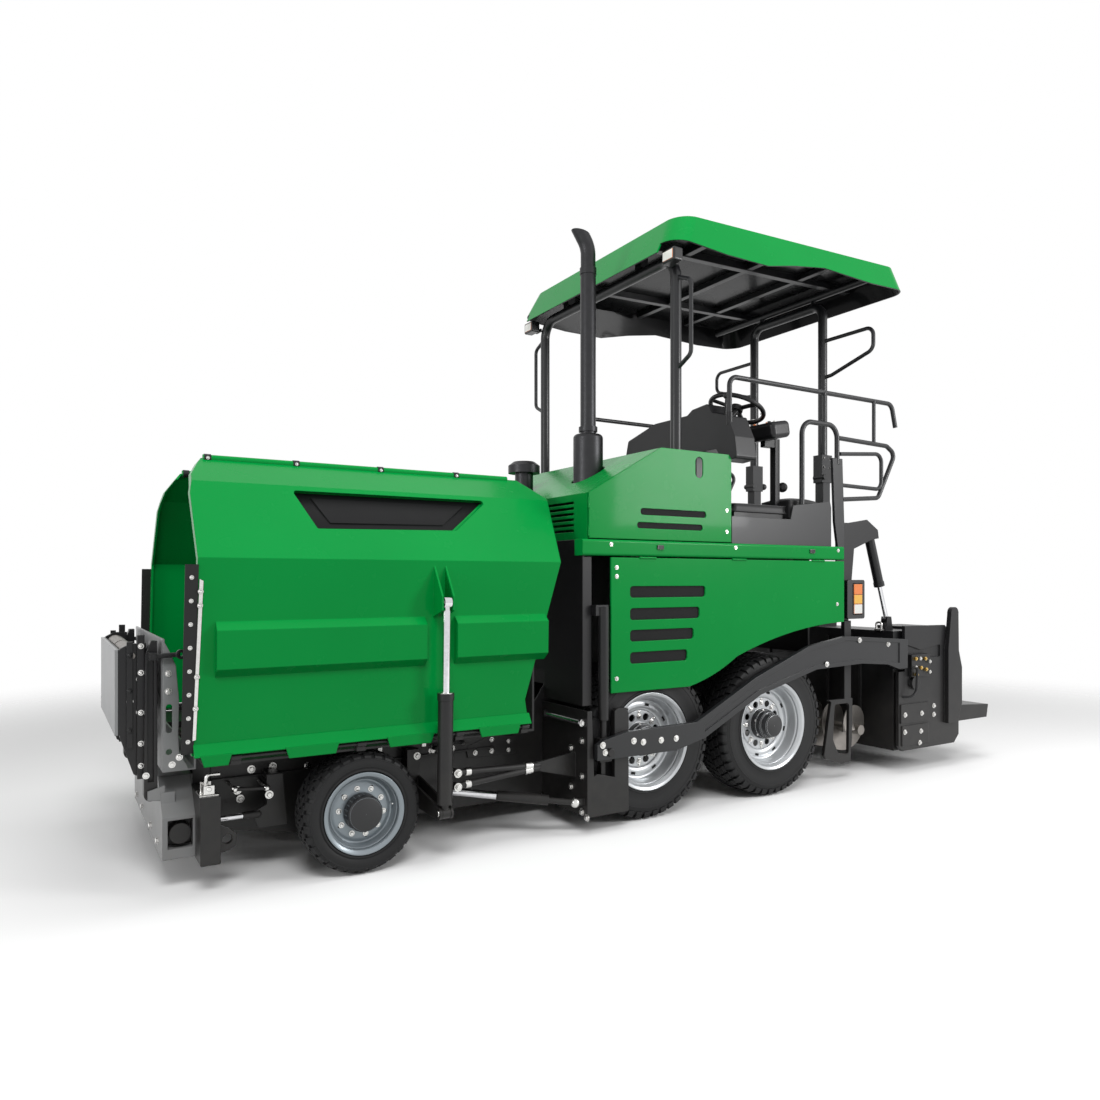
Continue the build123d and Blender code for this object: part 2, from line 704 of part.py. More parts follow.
# ---------------------------------------------------------------- front end
def make_front_end():
    half = beam_half_width
    slope_y = half - 160
    slope_z = beam_bottom + 187
    outline = [(-half, beam_bottom), (half, beam_bottom), (half, slope_z), (slope_y, beam_top),
               (-slope_y, beam_top),
               (-half, slope_z)]
    beam = cross_sheet(outline, beam_rear_x, beam_front_x)
    opening = (beam_bottom + 45, slope_z - 14)
    opening_x = (beam_rear_x + 10, beam_front_x - 22)
    beam = beam - block(opening_x, (-half - 10, half + 10), opening)
    beam = beam - block((beam_rear_x + 12, beam_front_x - 12), (-slope_y, slope_y),
                        (slope_z, beam_top - 12))
    beam = beam + block((frame_front_x, beam_rear_x + 5), (-frame_y, frame_y),
                        (beam_top - 70, beam_top - 10))
    for side in (1, -1):
        lug = side_sheet([(beam_front_x - 18, folding_pivot_z - 30),
                          (beam_front_x - 18, folding_pivot_z + 40),
                          (folding_pivot_x + 15, folding_pivot_z + 20),
                          (folding_pivot_x + 15, folding_pivot_z - 20)],
                         *on_side(side, (566, 578)))
        web = block((beam_front_x - 60, beam_front_x), on_side(side, (560, 584)),
                    (slope_z, folding_pivot_z + 10))
        pin = y_bar(folding_pivot_x, folding_pivot_z, *on_side(side, (496, 578)), folding_pin_radius)
        beam = beam + lug + web + pin
    save("push_beam", beam)

    cross = y_bar(sum(opening_x) / 2, sum(opening) / 2, 6 - half, half - 6, 46)
    for side in (1, -1):
        cross = cross + block(opening_x, on_side(side, (half - 80, half - 68)), opening)
    box = block((beam_rear_x - bumper_depth, beam_rear_x), bumper_y, (bumper_bottom, bumper_top))
    box = fillet(box.edges().filter_by(Axis.Y), 5)
    lug_x = beam_rear_x - bumper_depth + 2
    lug = side_sheet([(lug_x, lashing_z - 60), (lug_x, lashing_z + 70), (lashing_x - 10, lashing_z + 45),
                      (lashing_x - 40, lashing_z + 20), (lashing_x - 40, lashing_z - 30),
                      (lashing_x - 10, lashing_z - 50)],
                     *lashing_y)
    lug = lug - y_bar(lashing_x, lashing_z, lashing_y[0] - 5, lashing_y[1] + 5, lashing_radius)
    bumper = box + lug
    save("bumper_blocks", Compound([bumper, other_side(bumper), cross]))

    front = beam_front_x - 4
    low = apron_bottom
    half = apron_half_width
    apron = block((front - sheet, front), (-half, half), (low, folding_top + 10))
    apron = apron + block((apron_sill_x, front), (-half, half), (low, low + sheet))
    apron = apron + block((apron_sill_x, apron_sill_x + sheet), (-half, half), (low, floor_top))
    cheek_outline = [(2761, low), (front, low), (front, folding_top + 10), (front - 26, folding_top - 40),
                     (front - 54, folding_top - 110), (front - 67, 860), (front - 64, 690),
                     (front - 68, 620), (front - 100, 560)]
    for side in (1, -1):
        cheek = side_sheet(cheek_outline, *on_side(side, (half - sheet, half)))
        cheek = cheek - upright_slot((2829, 2855), (712, 842), *on_side(side, (half - 20, half + 5)))
        cheek = cheek - y_bar(2842, 628, *on_side(side, (half - 20, half + 5)), 13)
        apron = apron + cheek
    save("front_apron", apron)


def make_folding_frame():
    """Carrier of the push rollers, folded up against the hopper, hinged at the beam's front."""
    pieces = []
    arm_low = folding_pivot_z
    for side in (1, -1):
        arm_span = on_side(side, folding_arm_y)
        arm = side_sheet([(folding_pivot_x - 28, arm_low), (folding_pivot_x + 28, arm_low),
                          (folding_pivot_x + 22, folding_top - 60), (folding_pivot_x, folding_top),
                          (folding_pivot_x - 25, folding_top)], *arm_span)
        arm = arm + y_bar(folding_pivot_x, folding_pivot_z, *arm_span, folding_eye_radius)
        hole_span = (arm_span[0] - 5, arm_span[1] + 5)
        arm = arm - y_bar(folding_pivot_x, folding_pivot_z, *hole_span, folding_pin_radius + pin_gap)
        # folded profile of the side: a channel that is open to the outside
        groove = block((folding_pivot_x - 12, folding_pivot_x + 12),
                       on_side(side, (folding_arm_y[1] - 22, folding_arm_y[1] + 1)),
                       (arm_low + 60, folding_top - 90))
        cheek_rear = folding_pivot_x + 15
        cheek_front = front_reach_x - face_plate
        cheek_span = on_side(side, folding_cheek_y)
        cheek = side_sheet([(cheek_rear, arm_low + 60), (cheek_rear + 50, arm_low + 90),
                            (cheek_front, arm_low + 260),
                            (cheek_front, roller_z + 34), (cheek_front - 42, roller_z + 56),
                            (cheek_rear, roller_z + 56)],
                           *cheek_span)
        cheek = cheek - y_bar(roller_x, roller_z, cheek_span[0] - 10, cheek_span[1] + 10,
                              roller_pin_radius + pin_gap)
        pieces += [arm - groove, cheek]
    inner = folding_cheek_y[0] + 5
    for x, z in [(folding_pivot_x + 45, roller_z - 205), (folding_pivot_x + 60, roller_z - 415)]:
        pieces.append(y_bar(x, z, -inner, inner, 26))
    half = folding_cheek_y[1]
    face_top = roller_z + 30
    face = cross_sheet([(-half, 700), (half, 700), (half, face_top), (-half, face_top)],
                       front_reach_x - face_plate, front_reach_x)
    pieces.append(face)
    save("folding_frame", joined(pieces))
    pin_end = folding_cheek_y[1] - 4
    roller = y_bar(roller_x, roller_z, -pin_end, pin_end, roller_pin_radius)
    for side in (1, -1):
        roller = roller + y_bar(roller_x, roller_z, *on_side(side, (15, folding_cheek_y[0] - 15)),
                                roller_radius)
    save("push_rollers", roller)


# ---------------------------------------------------------------- engine hood and doors
def make_hood():
    low = rail_top
    outer = [(hood_front_x, low), (hood_front_x, hood_front_top), (hood_peak_x, hood_top),
             (hood_rear_x, hood_top),
             (hood_rear_x, low)]
    inner = [(hood_front_x - sheet, low - 1), (hood_front_x - sheet, hood_front_top - 4),
             (hood_peak_x - 2, hood_top - sheet), (hood_rear_x + sheet, hood_top - sheet),
             (hood_rear_x + sheet, low - 1)]
    half = hood_half_width - running_gap
    hood = side_sheet(outer, -half, half) - side_sheet(inner, -half - 1, half + 1)
    # air slots in the front face
    slot_z = [low + 48 + 32 * index for index in range(6)]
    for z in slot_z:
        for slot_y in ((-700, -260), (-220, 220), (260, 700)):
            hood = hood - block((hood_front_x - 20, hood_front_x + 5), slot_y, (z, z + 14))
    hood = hood - z_bar(exhaust_x, exhaust_y, hood_front_top - 20, hood_top + 100, muffler_radius + 12)
    hood = hood - z_bar(intake_x, intake_y, hood_front_top - 60, hood_top, intake_radius + running_gap / 6)
    save("hood", hood)

    door_low = rail_top + 8
    door = side_sheet([(hood_front_x - 4, door_low), (hood_front_x - 4, hood_front_top), (hood_peak_x, hood_top),
                       (hood_door_rear_x + 22, hood_top), (hood_door_rear_x, hood_top - 22),
                       (hood_door_rear_x, door_low)],
                      hood_half_width, hood_half_width + sheet)
    cut = (hood_half_width - 1, hood_half_width + sheet + 1)
    # slots: rear x, front x, bottom, top
    for rear, front, bottom, top in [(-116, 387, 1700, 1736), (-144, 362, 1779, 1818)]:
        door = door - slot((rear, front), (bottom, top), *cut)
    # hand hole
    door = door - upright_slot((-119, -57), (2020, 2149), *cut)
    # hinge pins on its front corner
    for z in (door_low + 40, hood_front_top - 60):
        door = door + z_bar(hood_front_x - 4, hood_half_width + sheet, z - 30, z + 30, 6)
    save_pair("hood_door", door)


def make_side_doors():
    """Lower side panel over the wheels, hung from the side rail, with four louvre slots."""
    top = rail_bottom - 8
    arch_start = (27, door_bottom)
    arch_middle = (-361, 923)
    arch_end = (body_rear_x, 1113)
    face = make_face([
        Line((door_front_x, top), (door_front_x, door_bottom)),
        Line((door_front_x, door_bottom), arch_start),
        ThreePointArc(arch_start, (-140, 812), arch_middle),
        ThreePointArc(arch_middle, (-820, 1052), arch_end),
        Line(arch_end, (body_rear_x, top)),
        Line((body_rear_x, top), (door_front_x, top)),
    ])
    outer_y = rail_y
    door = extrude(Plane.XZ.offset(-(outer_y - door_thick)) * face, amount=-door_thick)
    # slots: rear x, bottom, top
    for rear_x, bottom, high in [(-101, 1298, 1364), (-55, 1170, 1238), (-8, 1047, 1113), (42, 920, 986)]:
        hole = block((rear_x, 468), (outer_y - 30, outer_y + 5), (bottom, high))
        door = door - fillet(hole.edges().filter_by(Axis.Y), 20)
    # hinge pins along its top edge
    for x in (-1100, -380, 340):
        door = door + x_bar(outer_y, top, x - 60, x + 60, 6)
    save_pair("side_door", door)


def make_exhaust():
    muffler = z_bar(exhaust_x, exhaust_y, hood_front_top + 40, muffler_top, muffler_radius)
    muffler = fillet(muffler.edges().filter_by(GeomType.CIRCLE), 24)
    base = z_bar(exhaust_x, exhaust_y, engine_z[1], hood_front_top + 60, 60)
    clamp = z_bar(exhaust_x, exhaust_y, muffler_top + 16, muffler_top + 46, exhaust_radius + 10)
    pipe = z_bar(exhaust_x, exhaust_y, muffler_top - 10, exhaust_top - 90, exhaust_radius)
    seam = z_bar(exhaust_x, exhaust_y, exhaust_top - 130, exhaust_top - 90, exhaust_radius + 4)
    # curved outlet that leans forward, cut off on the slant
    outlet = bent_bar([(exhaust_x, exhaust_y, exhaust_top - 90), (exhaust_x, exhaust_y, exhaust_top + 40),
                       (exhaust_x + 130, exhaust_y, exhaust_top + 230)], exhaust_radius - 2, 150)
    inside = bent_bar([(exhaust_x, exhaust_y, exhaust_top - 60), (exhaust_x, exhaust_y, exhaust_top + 40),
                       (exhaust_x + 130, exhaust_y, exhaust_top + 230)], exhaust_radius - 8, 150)
    cut = Pos(exhaust_x + 80, exhaust_y, exhaust_top + 246) * Rot(0, -8, 0) * Box(400, 300, 240)
    save("exhaust", joined([muffler, base, clamp, pipe, seam, outlet]) - inside - cut)
    cap = z_bar(intake_x, intake_y, engine_z[1], intake_top - 40, intake_radius)
    cap = cap + z_bar(intake_x, intake_y, intake_top - 50, intake_top, 105)
    cap = cap + Pos(intake_x, intake_y, intake_top) * Cone(105, 70, 26,
                                                           align=(Align.CENTER, Align.CENTER, Align.MIN))
    save("air_intake", cap)


# ---------------------------------------------------------------- platform
def make_platform():
    deck = block((-1375, deck_front_x), (-deck_half_width, deck_half_width), (deck_top - plate, deck_top))
    dash = block((deck_front_x - 10, deck_front_x), (-deck_half_width, deck_half_width),
                 (deck_top, dash_top))
    side_outline = [(bench_front_x, rail_top), (bench_front_x, bench_top), (bench_step_x, bench_top - 4),
                    (bench_step_x - 26, bench_rear_top - 22), (bench_rear_x + 12, bench_rear_top + 20),
                    (bench_rear_x, bench_rear_top - 20), (bench_rear_x, rail_top)]
    outer = side_sheet(side_outline, bench_y - sheet, bench_y)
    inner_outline = [(bench_front_x, deck_top), (bench_front_x, bench_top), (bench_rear_x, bench_top),
                     (bench_rear_x, deck_top)]
    inner = side_sheet(inner_outline, bench_inner_y, bench_inner_y + sheet)
    lid = block((bench_rear_x, bench_front_x), (bench_inner_y, bench_y), (bench_top - sheet, bench_top))
    front = block((bench_front_x - sheet, bench_front_x), (bench_inner_y, bench_y - 40),
                  (deck_top, bench_top))
    rear = block((bench_rear_x, bench_rear_x + sheet), (bench_inner_y, bench_y),
                 (rail_top, bench_rear_top - 24))
    bench = joined([outer, inner, lid, front, rear])
    save("platform", joined([deck, dash, bench, other_side(bench)]))
    # low driving seats on the benches
    pan = block((-860, -420), (540, 800), (bench_top, bench_top + 36))
    cushion = fillet(block((-876, -400), (520, 820), (bench_top + 36, bench_top + 96)).edges(), 18)
    back = fillet(block((-1215, -934), (530, 790), (bench_top, bench_top + 160)).edges(), 18)
    save("seats", both_sides(joined([pan, cushion, back])))

    # sliding steering console, at its left-hand place
    pod = cross_sheet([(-270, 2290), (-235, 2420), (80, 2500), (420, 2500), (470, 2530), (620, 2545),
                       (660, 2480), (800, 2440),
                       (868, 2300), (888, 2160), (760, 2150), (700, 2240), (-150, 2240)], -530, -362, 20)
    rail_foot = z_bar(-380, top_rail_y, 2380, console_rail_z, 20)
    stand = block((-490, -400), (60, 470), (deck_top, 2260))
    foot = block((-530, -362), (20, 488), (deck_top, deck_top + 30))
    wheel_plane = Plane(origin=(-640, 600, 2545), z_dir=(-0.42, 0, 1))
    wheel = wheel_plane * Torus(180, 15)
    hub = wheel_plane * Cylinder(42, 34)
    spokes = [wheel_plane * Rot(0, 0, turn) * Pos(95, 0, 0) * Box(170, 30, 12) for turn in (90, 210, 330)]
    column = bar((-640, 600, 2545), (-450, 600, 2330), 24)
    # screed control box on its own stand beside the seat
    box = Pos(-790, 650, 2385) * Rot(0, 10, 0) * fillet(Box(170, 420, 110).edges(), 30)
    leg = block((-926, -884), (664, 712), (bench_top, 2350)) + block((-926, -790), (668, 708), (2290, 2345))
    knob = Pos(-975, 690, 2030) * Sphere(34) + x_bar(690, 2030, -975, -900, 13)
    save("console", Compound([joined([pod, rail_foot, stand, foot, column, wheel, hub, *spokes]),
                              joined([box, leg, knob])]))


def make_handrails():
    """Per side a hoop, its flat stanchion, a long top rail and the loops at the back."""
    y = rail_plane_y
    tube = rail_tube_radius
    hoop = bent_bar([(-1020, y, bench_top + 2), (-1020, y, 2468), (-1370, y, 2468), (-1370, y, 2200)],
                    tube + 1, 90)
    stanchion = side_sheet([(-1312, 2240), (-1412, 2240), (-1432, 1780), (-1432, rail_top - 60),
                            (-1376, rail_top - 60),
                            (-1335, 1800)], y - 8, y + 12)
    post_y = y - 6
    top_post = z_bar(-1250, post_y, 2462, top_rail_z - 3, tube - 3)
    rear_post = z_bar(-1771, post_y, 2370, top_rail_z - 3, tube - 3)
    loop = bent_bar([(-1380, y - 1, 2385), (-1905, y - 1, 2372), (-2000, y - 1, 2320),
                     (-1810, y - 1, 1990), (-1420, y - 1, 1960)],
                    tube, 50)
    inner_loop = bent_bar([(-1400, y - 3, 2275), (-1850, y - 3, 2310), (-1850, y - 3, 2053),
                           (-1400, y - 3, 2060)], tube - 2, 60)
    common = joined([hoop, stanchion, top_post, rear_post, loop, inner_loop])
    sides = []
    # the left rail stands on the console, the right one on the bench
    for side, foot_z in ((1, console_rail_z), (-1, bench_top)):
        rail = bent_bar([(-380, top_rail_y, foot_z), (-380, top_rail_y, top_rail_z),
                         (-1985, top_rail_y, top_rail_z),
                         (-2030, top_rail_y, 2520)], tube, 60)
        rail = common + rail
        sides.append(rail if side == 1 else other_side(rail))
    save("handrails", Compound(sides))


# ---------------------------------------------------------------- canopy
def canopy_shell(inset):
    """Flared skirt and sloping roof as one solid, drawn in by an inset on every side."""
    def rounded(x_front, x_rear, half):
        middle = (x_front + x_rear) / 2
        shape = RectangleRounded(x_front - x_rear - 2 * inset, 2 * (half - inset), canopy_corner - inset)
        return Pos(middle, 0) * shape

    rise = canopy_rear_top - canopy_front_top
    front = canopy_front_x - canopy_flare_x
    rear = canopy_rear_x + canopy_flare_x
    low_z = canopy_front_top - canopy_depth
    tilt = math.degrees(math.atan2(rise, front - rear))
    low = Pos(0, 0, low_z - (1 if inset else 0)) * rounded(canopy_front_x, canopy_rear_x, canopy_half_width)
    high_z = (canopy_front_top + canopy_rear_top) / 2 - inset
    middle = (front + rear) / 2
    centred = Pos(-middle, 0) * rounded(front, rear, canopy_half_width - canopy_flare_y)
    high = Pos(middle, 0, high_z) * Rot(0, tilt, 0) * centred
    return loft([low, high])


def make_canopy():
    low_z = canopy_front_top - canopy_depth
    roof = canopy_shell(0) - canopy_shell(canopy_sheet)
    # wavy lower edge of the side skirts, and the higher edge at the back
    wave = [(400, low_z - 60), (400, low_z + 76), (60, low_z + 52), (-250, low_z + 30),
            (-600, low_z + 30), (-860, low_z + 86),
            (-1150, low_z + 132), (-1620, low_z + 118), (-2000, low_z + 132), (-2300, low_z + 132),
            (-2300, low_z - 60)]
    corner = canopy_half_width - canopy_corner - 20
    for side in (1, -1):
        roof = roof - side_sheet(wave, *on_side(side, (corner, canopy_half_width + 60)))
    roof = roof - block((-2300, -1700), (-corner - 1, corner + 1), (low_z - 60, low_z + 132))
    save("canopy_roof", roof)

    # front arch with its grab handles
    arch = bent_bar([(post_front_x, post_front_y, deck_top), (post_front_x, post_front_y, front_arch_z),
                     (post_front_x, -post_front_y, front_arch_z),
                     (post_front_x, -post_front_y, deck_top)], post_radius, 130)
    handle_y = post_front_y + post_radius
    handle = bent_bar([(post_front_x, handle_y - 10, 3240), (post_front_x, handle_y + 105, 3190),
                       (post_front_x, handle_y + 105, 2750), (post_front_x, handle_y - 10, 2690)], 13, 45)
    # rear arch with its loops and hinge plates, on box posts from the body frame
    rear_arch = bent_bar([(post_rear_x, post_rear_y, rear_hinge_z - 90),
                          (post_rear_x, post_rear_y, rear_arch_z),
                          (post_rear_x, -post_rear_y, rear_arch_z),
                          (post_rear_x, -post_rear_y, rear_hinge_z - 90)],
                         post_radius, 90)
    loop_y = post_rear_y + post_radius
    loop = bent_bar([(post_rear_x, loop_y - 10, 3222), (post_rear_x, loop_y + 420, 3222),
                     (post_rear_x, loop_y + 420, 3060),
                     (post_rear_x, loop_y + 50, 2950), (post_rear_x, loop_y - 10, 2945)], 14, [60, 60, 30])
    rear_half = post_radius + 4
    foot = block((post_rear_x - rear_half, post_rear_x + rear_half),
                 (post_rear_y - rear_half, post_rear_y + rear_half),
                 (1560, rear_hinge_z))
    foot = foot + block((post_rear_x - rear_half, -1392),
                        (post_rear_y - rear_half, post_rear_y + rear_half), (1560, 1640))
    hinge = block((post_rear_x - 56, post_rear_x + 56),
                  (post_rear_y - rear_half - 4, post_rear_y + rear_half + 4),
                  (rear_hinge_z - 100, rear_hinge_z + 110))
    hinge = hinge + y_bar(post_rear_x + 40, rear_hinge_z - 60, post_rear_y - 44, post_rear_y + 60, 20)
    rear_side = joined([foot, hinge, loop])
    # rails under the roof that the arches carry
    slope = (canopy_rear_top - canopy_front_top) / (canopy_front_x - canopy_rear_x - 2 * canopy_flare_x)
    under = canopy_front_top - canopy_sheet

    def roof_z(x):
        return under + slope * (canopy_front_x - canopy_flare_x - x)

    rail_ends = (60, -1960)
    frame_parts = [arch, handle, other_side(handle), rear_arch, rear_side, other_side(rear_side)]
    for y in (-430, 430):
        frame_parts.append(side_sheet([(rail_ends[0], roof_z(rail_ends[0])),
                                       (rail_ends[1], roof_z(rail_ends[1])),
                                       (rail_ends[1], roof_z(rail_ends[1]) - 46),
                                       (rail_ends[0], roof_z(rail_ends[0]) - 46)],
                                      y - 24, y + 24))
        frame_parts.append(block((post_front_x - 30, post_front_x + 30), (y - 30, y + 30),
                                 (front_arch_z, roof_z(post_front_x) - 20)))
    for x in (-330, -900, -1400):
        frame_parts.append(block((x - 22, x + 22), (-800, 800), (roof_z(x) - 40, roof_z(x) - 2)))
    rear_bar_z = roof_z(post_rear_x) - 60
    frame_parts.append(y_bar(post_rear_x, rear_bar_z, -810, 810, 28))
    for side in (1, -1):
        frame_parts.append(z_bar(post_rear_x, side * (post_rear_y - 90), rear_arch_z + 4, rear_bar_z - 6,
                                 20))
    save("canopy_posts", joined(frame_parts))


def make_lamps():
    """Work lamps under the canopy's front corners, and the tail lamps in their black housings."""
    x = post_front_x + post_radius
    low = front_arch_z - work_lamp_drop
    work = fillet(block((x + 12, x + 82), (772, 892), (low, low + work_lamp_height)).edges(), 10)
    work = work + block((x + 2, x + 14), (800, 830), (low, low + 34))
    work = work + block((x - 4, x + 8), (770, 830), (low + 4, low + 28))
    tail = fillet(block((-1585, -1405), (812, 880), (1130, 1400)).edges().filter_by(Axis.Y), 16)
    tail = tail - block((-1560, -1460), (868, 881), (1158, 1376))
    lens = fillet(block((-1556, -1464), (866, 884), (1162, 1372)).edges().sort_by(Axis.Y)[-4:], 4)
    tail = tail + lens
    save("lamps", Compound([work, other_side(work), tail, other_side(tail)]))


# ---------------------------------------------------------------- tow point, arms and screed
def make_tow_brackets():
    """Brackets that carry the tow points, with the tow-height cylinders and the stay rods."""
    outer = tow_bracket_y
    low, high = tow_bracket_bottom, tow_bracket_top
    rear = 507
    front = block((tow_front_x - plate, tow_front_x), (frame_y, outer), (low, high))
    skirt = side_sheet([(rear, low), (tow_front_x, low), (tow_front_x, 300), (720, 330),
                        (rear + 96, 300), (rear, 300)],
                       outer - plate, outer)
    channel = side_sheet([(rear, low + 2), (rear + 96, low + 2), (rear + 96, high - 12),
                          (rear + 80, high), (rear + 16, high),
                          (rear, high - 30)], outer - 36, outer)
    channel = channel - block((rear + 12, rear + 84), (outer - 40, outer - plate), (low + 60, high - 30))
    edge = side_sheet([(tow_front_x - 44, 300), (tow_front_x, 300), (tow_front_x, high),
                       (tow_front_x - 30, high)],
                      outer - plate, outer)
    # everything behind the front plate stays outside the wheel
    inner = rear_wheel_y + rear_tyre_width / 2 + 2 * running_gap
    base = block((rear, tow_front_x), (inner, outer), (low, low + plate))
    pin = y_bar(tow_x, tow_z, inner, arm_y + arm_thick + 16, tow_pin_radius)
    guide = block((tow_x - 40, tow_x + 40), (inner, outer - 4), (tow_z - 60, tow_z + 70))
    guide_rail = block((tow_x - 14, tow_x + 14), (inner, outer - 30), (low, tow_z))
    column = z_bar(tow_x, tow_column_y, 620, tow_column_top, tow_column_radius)
    column = column + z_bar(tow_x, tow_column_y, tow_z, 620, 18)
    head = block((tow_x - 30, body_front_x - 60), (bulkhead_half_width - 10, tow_column_y + 6),
                 (tow_column_top - 50, tow_column_top + 10))
    shaft = y_bar(tow_front_x + 12, high - 66, frame_y + 50, outer - 30, 13)
    ears = [block((tow_front_x - 2, tow_front_x + 26), (y - 8, y + 8),
                  (high - 86, high - 46)) for y in (frame_y + 58, outer - 40)]
    bracket = joined([front, skirt, channel, edge, base, pin, guide, guide_rail, column, head, shaft,
                      *ears])
    # lug, two stay rods that meet at it, and the plate in which they start
    stay_y = 800
    lug = side_sheet([(tow_front_x, 440), (tow_front_x, 300), (1040, 365), (1040, 408)], stay_y - 9,
                     stay_y + 9)
    bracket = bracket + lug
    foot_x = wing_cylinder_x - 100
    for z_start, z_end in ((411, 392), (341, 378)):
        bracket = bracket + bar((foot_x - 30, stay_y, z_start), (1020, stay_y, z_end), 17)
        bracket = bracket + y_bar(foot_x - 24, z_start, stay_y - 22, stay_y + 26, 20)
    # locking cylinder low beside the frame
    start = Vector(1470, bracket_y - 30, 262)
    end = Vector(842, tow_column_y - 10, 182)
    along = (end - start).normalized()
    lock = bar(tuple(start), tuple(start + along * 300), 21)
    lock = lock + bar(tuple(start + along * 280), tuple(start + along * 560), 28) + bar(tuple(start),
                                                                                        tuple(end), 16)
    lock = lock + Pos(end) * Sphere(26) + block((tow_front_x, end.X), (end.Y - 12, end.Y + 12),
                                                (end.Z - 18, end.Z + 18))
    bracket = bracket + lock
    save("tow_brackets", both_sides(bracket))


def make_arms():
    """Swan-necked tow arms: a flat plate with a lip along its upper edge."""
    top = [(745, 496), (700, 520), (540, 552), (33, 560), (-449, 793), (-927, 967), (-1289, 1020),
           (arm_rear_x, 976)]
    bottom = [(arm_rear_x, 770), (-1850, 770), (-1732, 807), (-1454, 828), (-1003, 813), (-493, 684),
              (-30, 460),
              (186, 411), (745, 412)]
    arm = side_sheet(top + bottom, arm_y, arm_y + arm_thick)
    # hollowed web between the lips, from behind the tow point to the screed
    web_top = [(-30, 540), (-470, 765), (-940, 940), (-1289, 992), (-1860, 955)]
    web_bottom = [(-1860, 812), (-1454, 856), (-990, 840), (-470, 712), (-30, 498)]
    arm = arm - side_sheet(web_top + web_bottom, arm_y + arm_thick - 7, arm_y + arm_thick + 1)
    arm = arm - y_bar(tow_x, tow_z, arm_y - 5, arm_y + arm_thick + 5, tow_pin_radius + pin_gap)
    save("tow_arms", both_sides(arm))


def make_screed():
    half = screed_half_width
    main = block((main_screed_rear_x, screed_front_x), (-half, half), (screed_bottom, screed_top))
    main = main - block((main_screed_rear_x - 1, screed_front_x - 20), (20 - half, half - 20),
                        (screed_bottom + 60, screed_top - 20))
    # crown-adjuster housing on top and stiffeners on the front plate
    main = main + block((main_screed_rear_x + 30, screed_front_x - 60), (-160, 160),
                        (screed_top, screed_top + 60))
    for y in (-600, -300, 0, 300, 600):
        main = main + block((screed_front_x, screed_front_x + 14), (y - 8, y + 8),
                            (screed_bottom + 200, screed_top - 60))
    for side in (1, -1):
        main = main + block((arm_seat_x, screed_front_x), on_side(side, (half - 20, arm_y)), (760, 970))
        for offset in (-22, 22):
            y = side * lift_y + offset
            lug = side_sheet([(lift_foot_x - 40, screed_top), (lift_foot_x + 40, screed_top),
                              (lift_foot_x + 22, lift_foot_z + 20),
                              (lift_foot_x - 22, lift_foot_z + 20)], y - 4, y + 4)
            main = main + lug
    save("main_screed", main)

    rear_low = main_screed_rear_x - running_gap
    body = block((screed_rear_x, rear_low), (4, end_plate_y), (screed_bottom, 640))
    body = body - block((screed_rear_x + 20, rear_low - 20), (24, 880), (screed_bottom + 40, 620))
    upper = block((screed_rear_x + 60, rear_low), (500, end_plate_y), (640, screed_top + 20))
    upper = upper - block((screed_rear_x + 80, rear_low - 20), (520, 880), (639, screed_top))
    arm_clear = screed_front_x - 70
    outline = [(arm_clear, screed_top + 38), (screed_rear_x + 110, screed_top + 32),
               (screed_rear_x + 110, 860),
               (screed_rear_x - 30, 760), (screed_rear_x - 60, 560), (screed_rear_x - 60, 230),
               (screed_rear_x, screed_bottom),
               (screed_front_x - 40, screed_bottom), (screed_front_x, screed_bottom + 40),
               (screed_front_x, 740), (arm_clear, 740)]
    y0 = end_plate_y
    y1 = end_plate_y + end_plate_thick
    end_plate = side_sheet(outline, y0, y1)
    recess = side_sheet([(-2000, 930), (-2150, 890), (-2390, 920), (-2390, 830), (-2010, 830)], y1 - 12,
                        y1 + 1, 10)
    end_plate = end_plate - recess
    # patch plates bolted on the end plate
    patches = block((-2240, -1915), (y1, y1 + 10), (370, 505)) + block((-2240, -1930), (y1, y1 + 8),
                                                                       (205, 350))
    boss = y_bar(-2070, 654, y1, y1 + 22, 48)
    # upright beam of the side shield, with its round head
    post_y = (y1, y1 + 34)
    post = side_sheet([(-2440, 330), (-2560, 330), (-2610, 470), (-2610, 740), (-2570, 870),
                       (-2565, screed_post_top),
                       (-2475, screed_post_top), (-2440, 880)], *post_y)
    post = post + y_bar(screed_post_x, screed_post_top, *post_y, 46)
    # foot board behind: a channel with its end plates
    foot = side_sheet([(footboard_rear_x, footboard_top - 30), (screed_rear_x, footboard_top),
                       (screed_rear_x, footboard_bottom),
                       (footboard_rear_x + 20, footboard_bottom)], 880, y0)
    tread = side_sheet([(footboard_rear_x, footboard_top - 30), (screed_rear_x, footboard_top),
                        (screed_rear_x, footboard_top - 12),
                        (footboard_rear_x + 2, footboard_top - 42)], 30, 881)
    riser = side_sheet([(footboard_rear_x, footboard_top - 30), (footboard_rear_x + 10, footboard_top - 31),
                        (footboard_rear_x + 28, footboard_bottom),
                        (footboard_rear_x + 18, footboard_bottom)], 30, 881)
    foot = joined([foot, tread, riser])
    save_pair("screed_extension", joined([body, upper, end_plate, patches, boss, post, foot]))


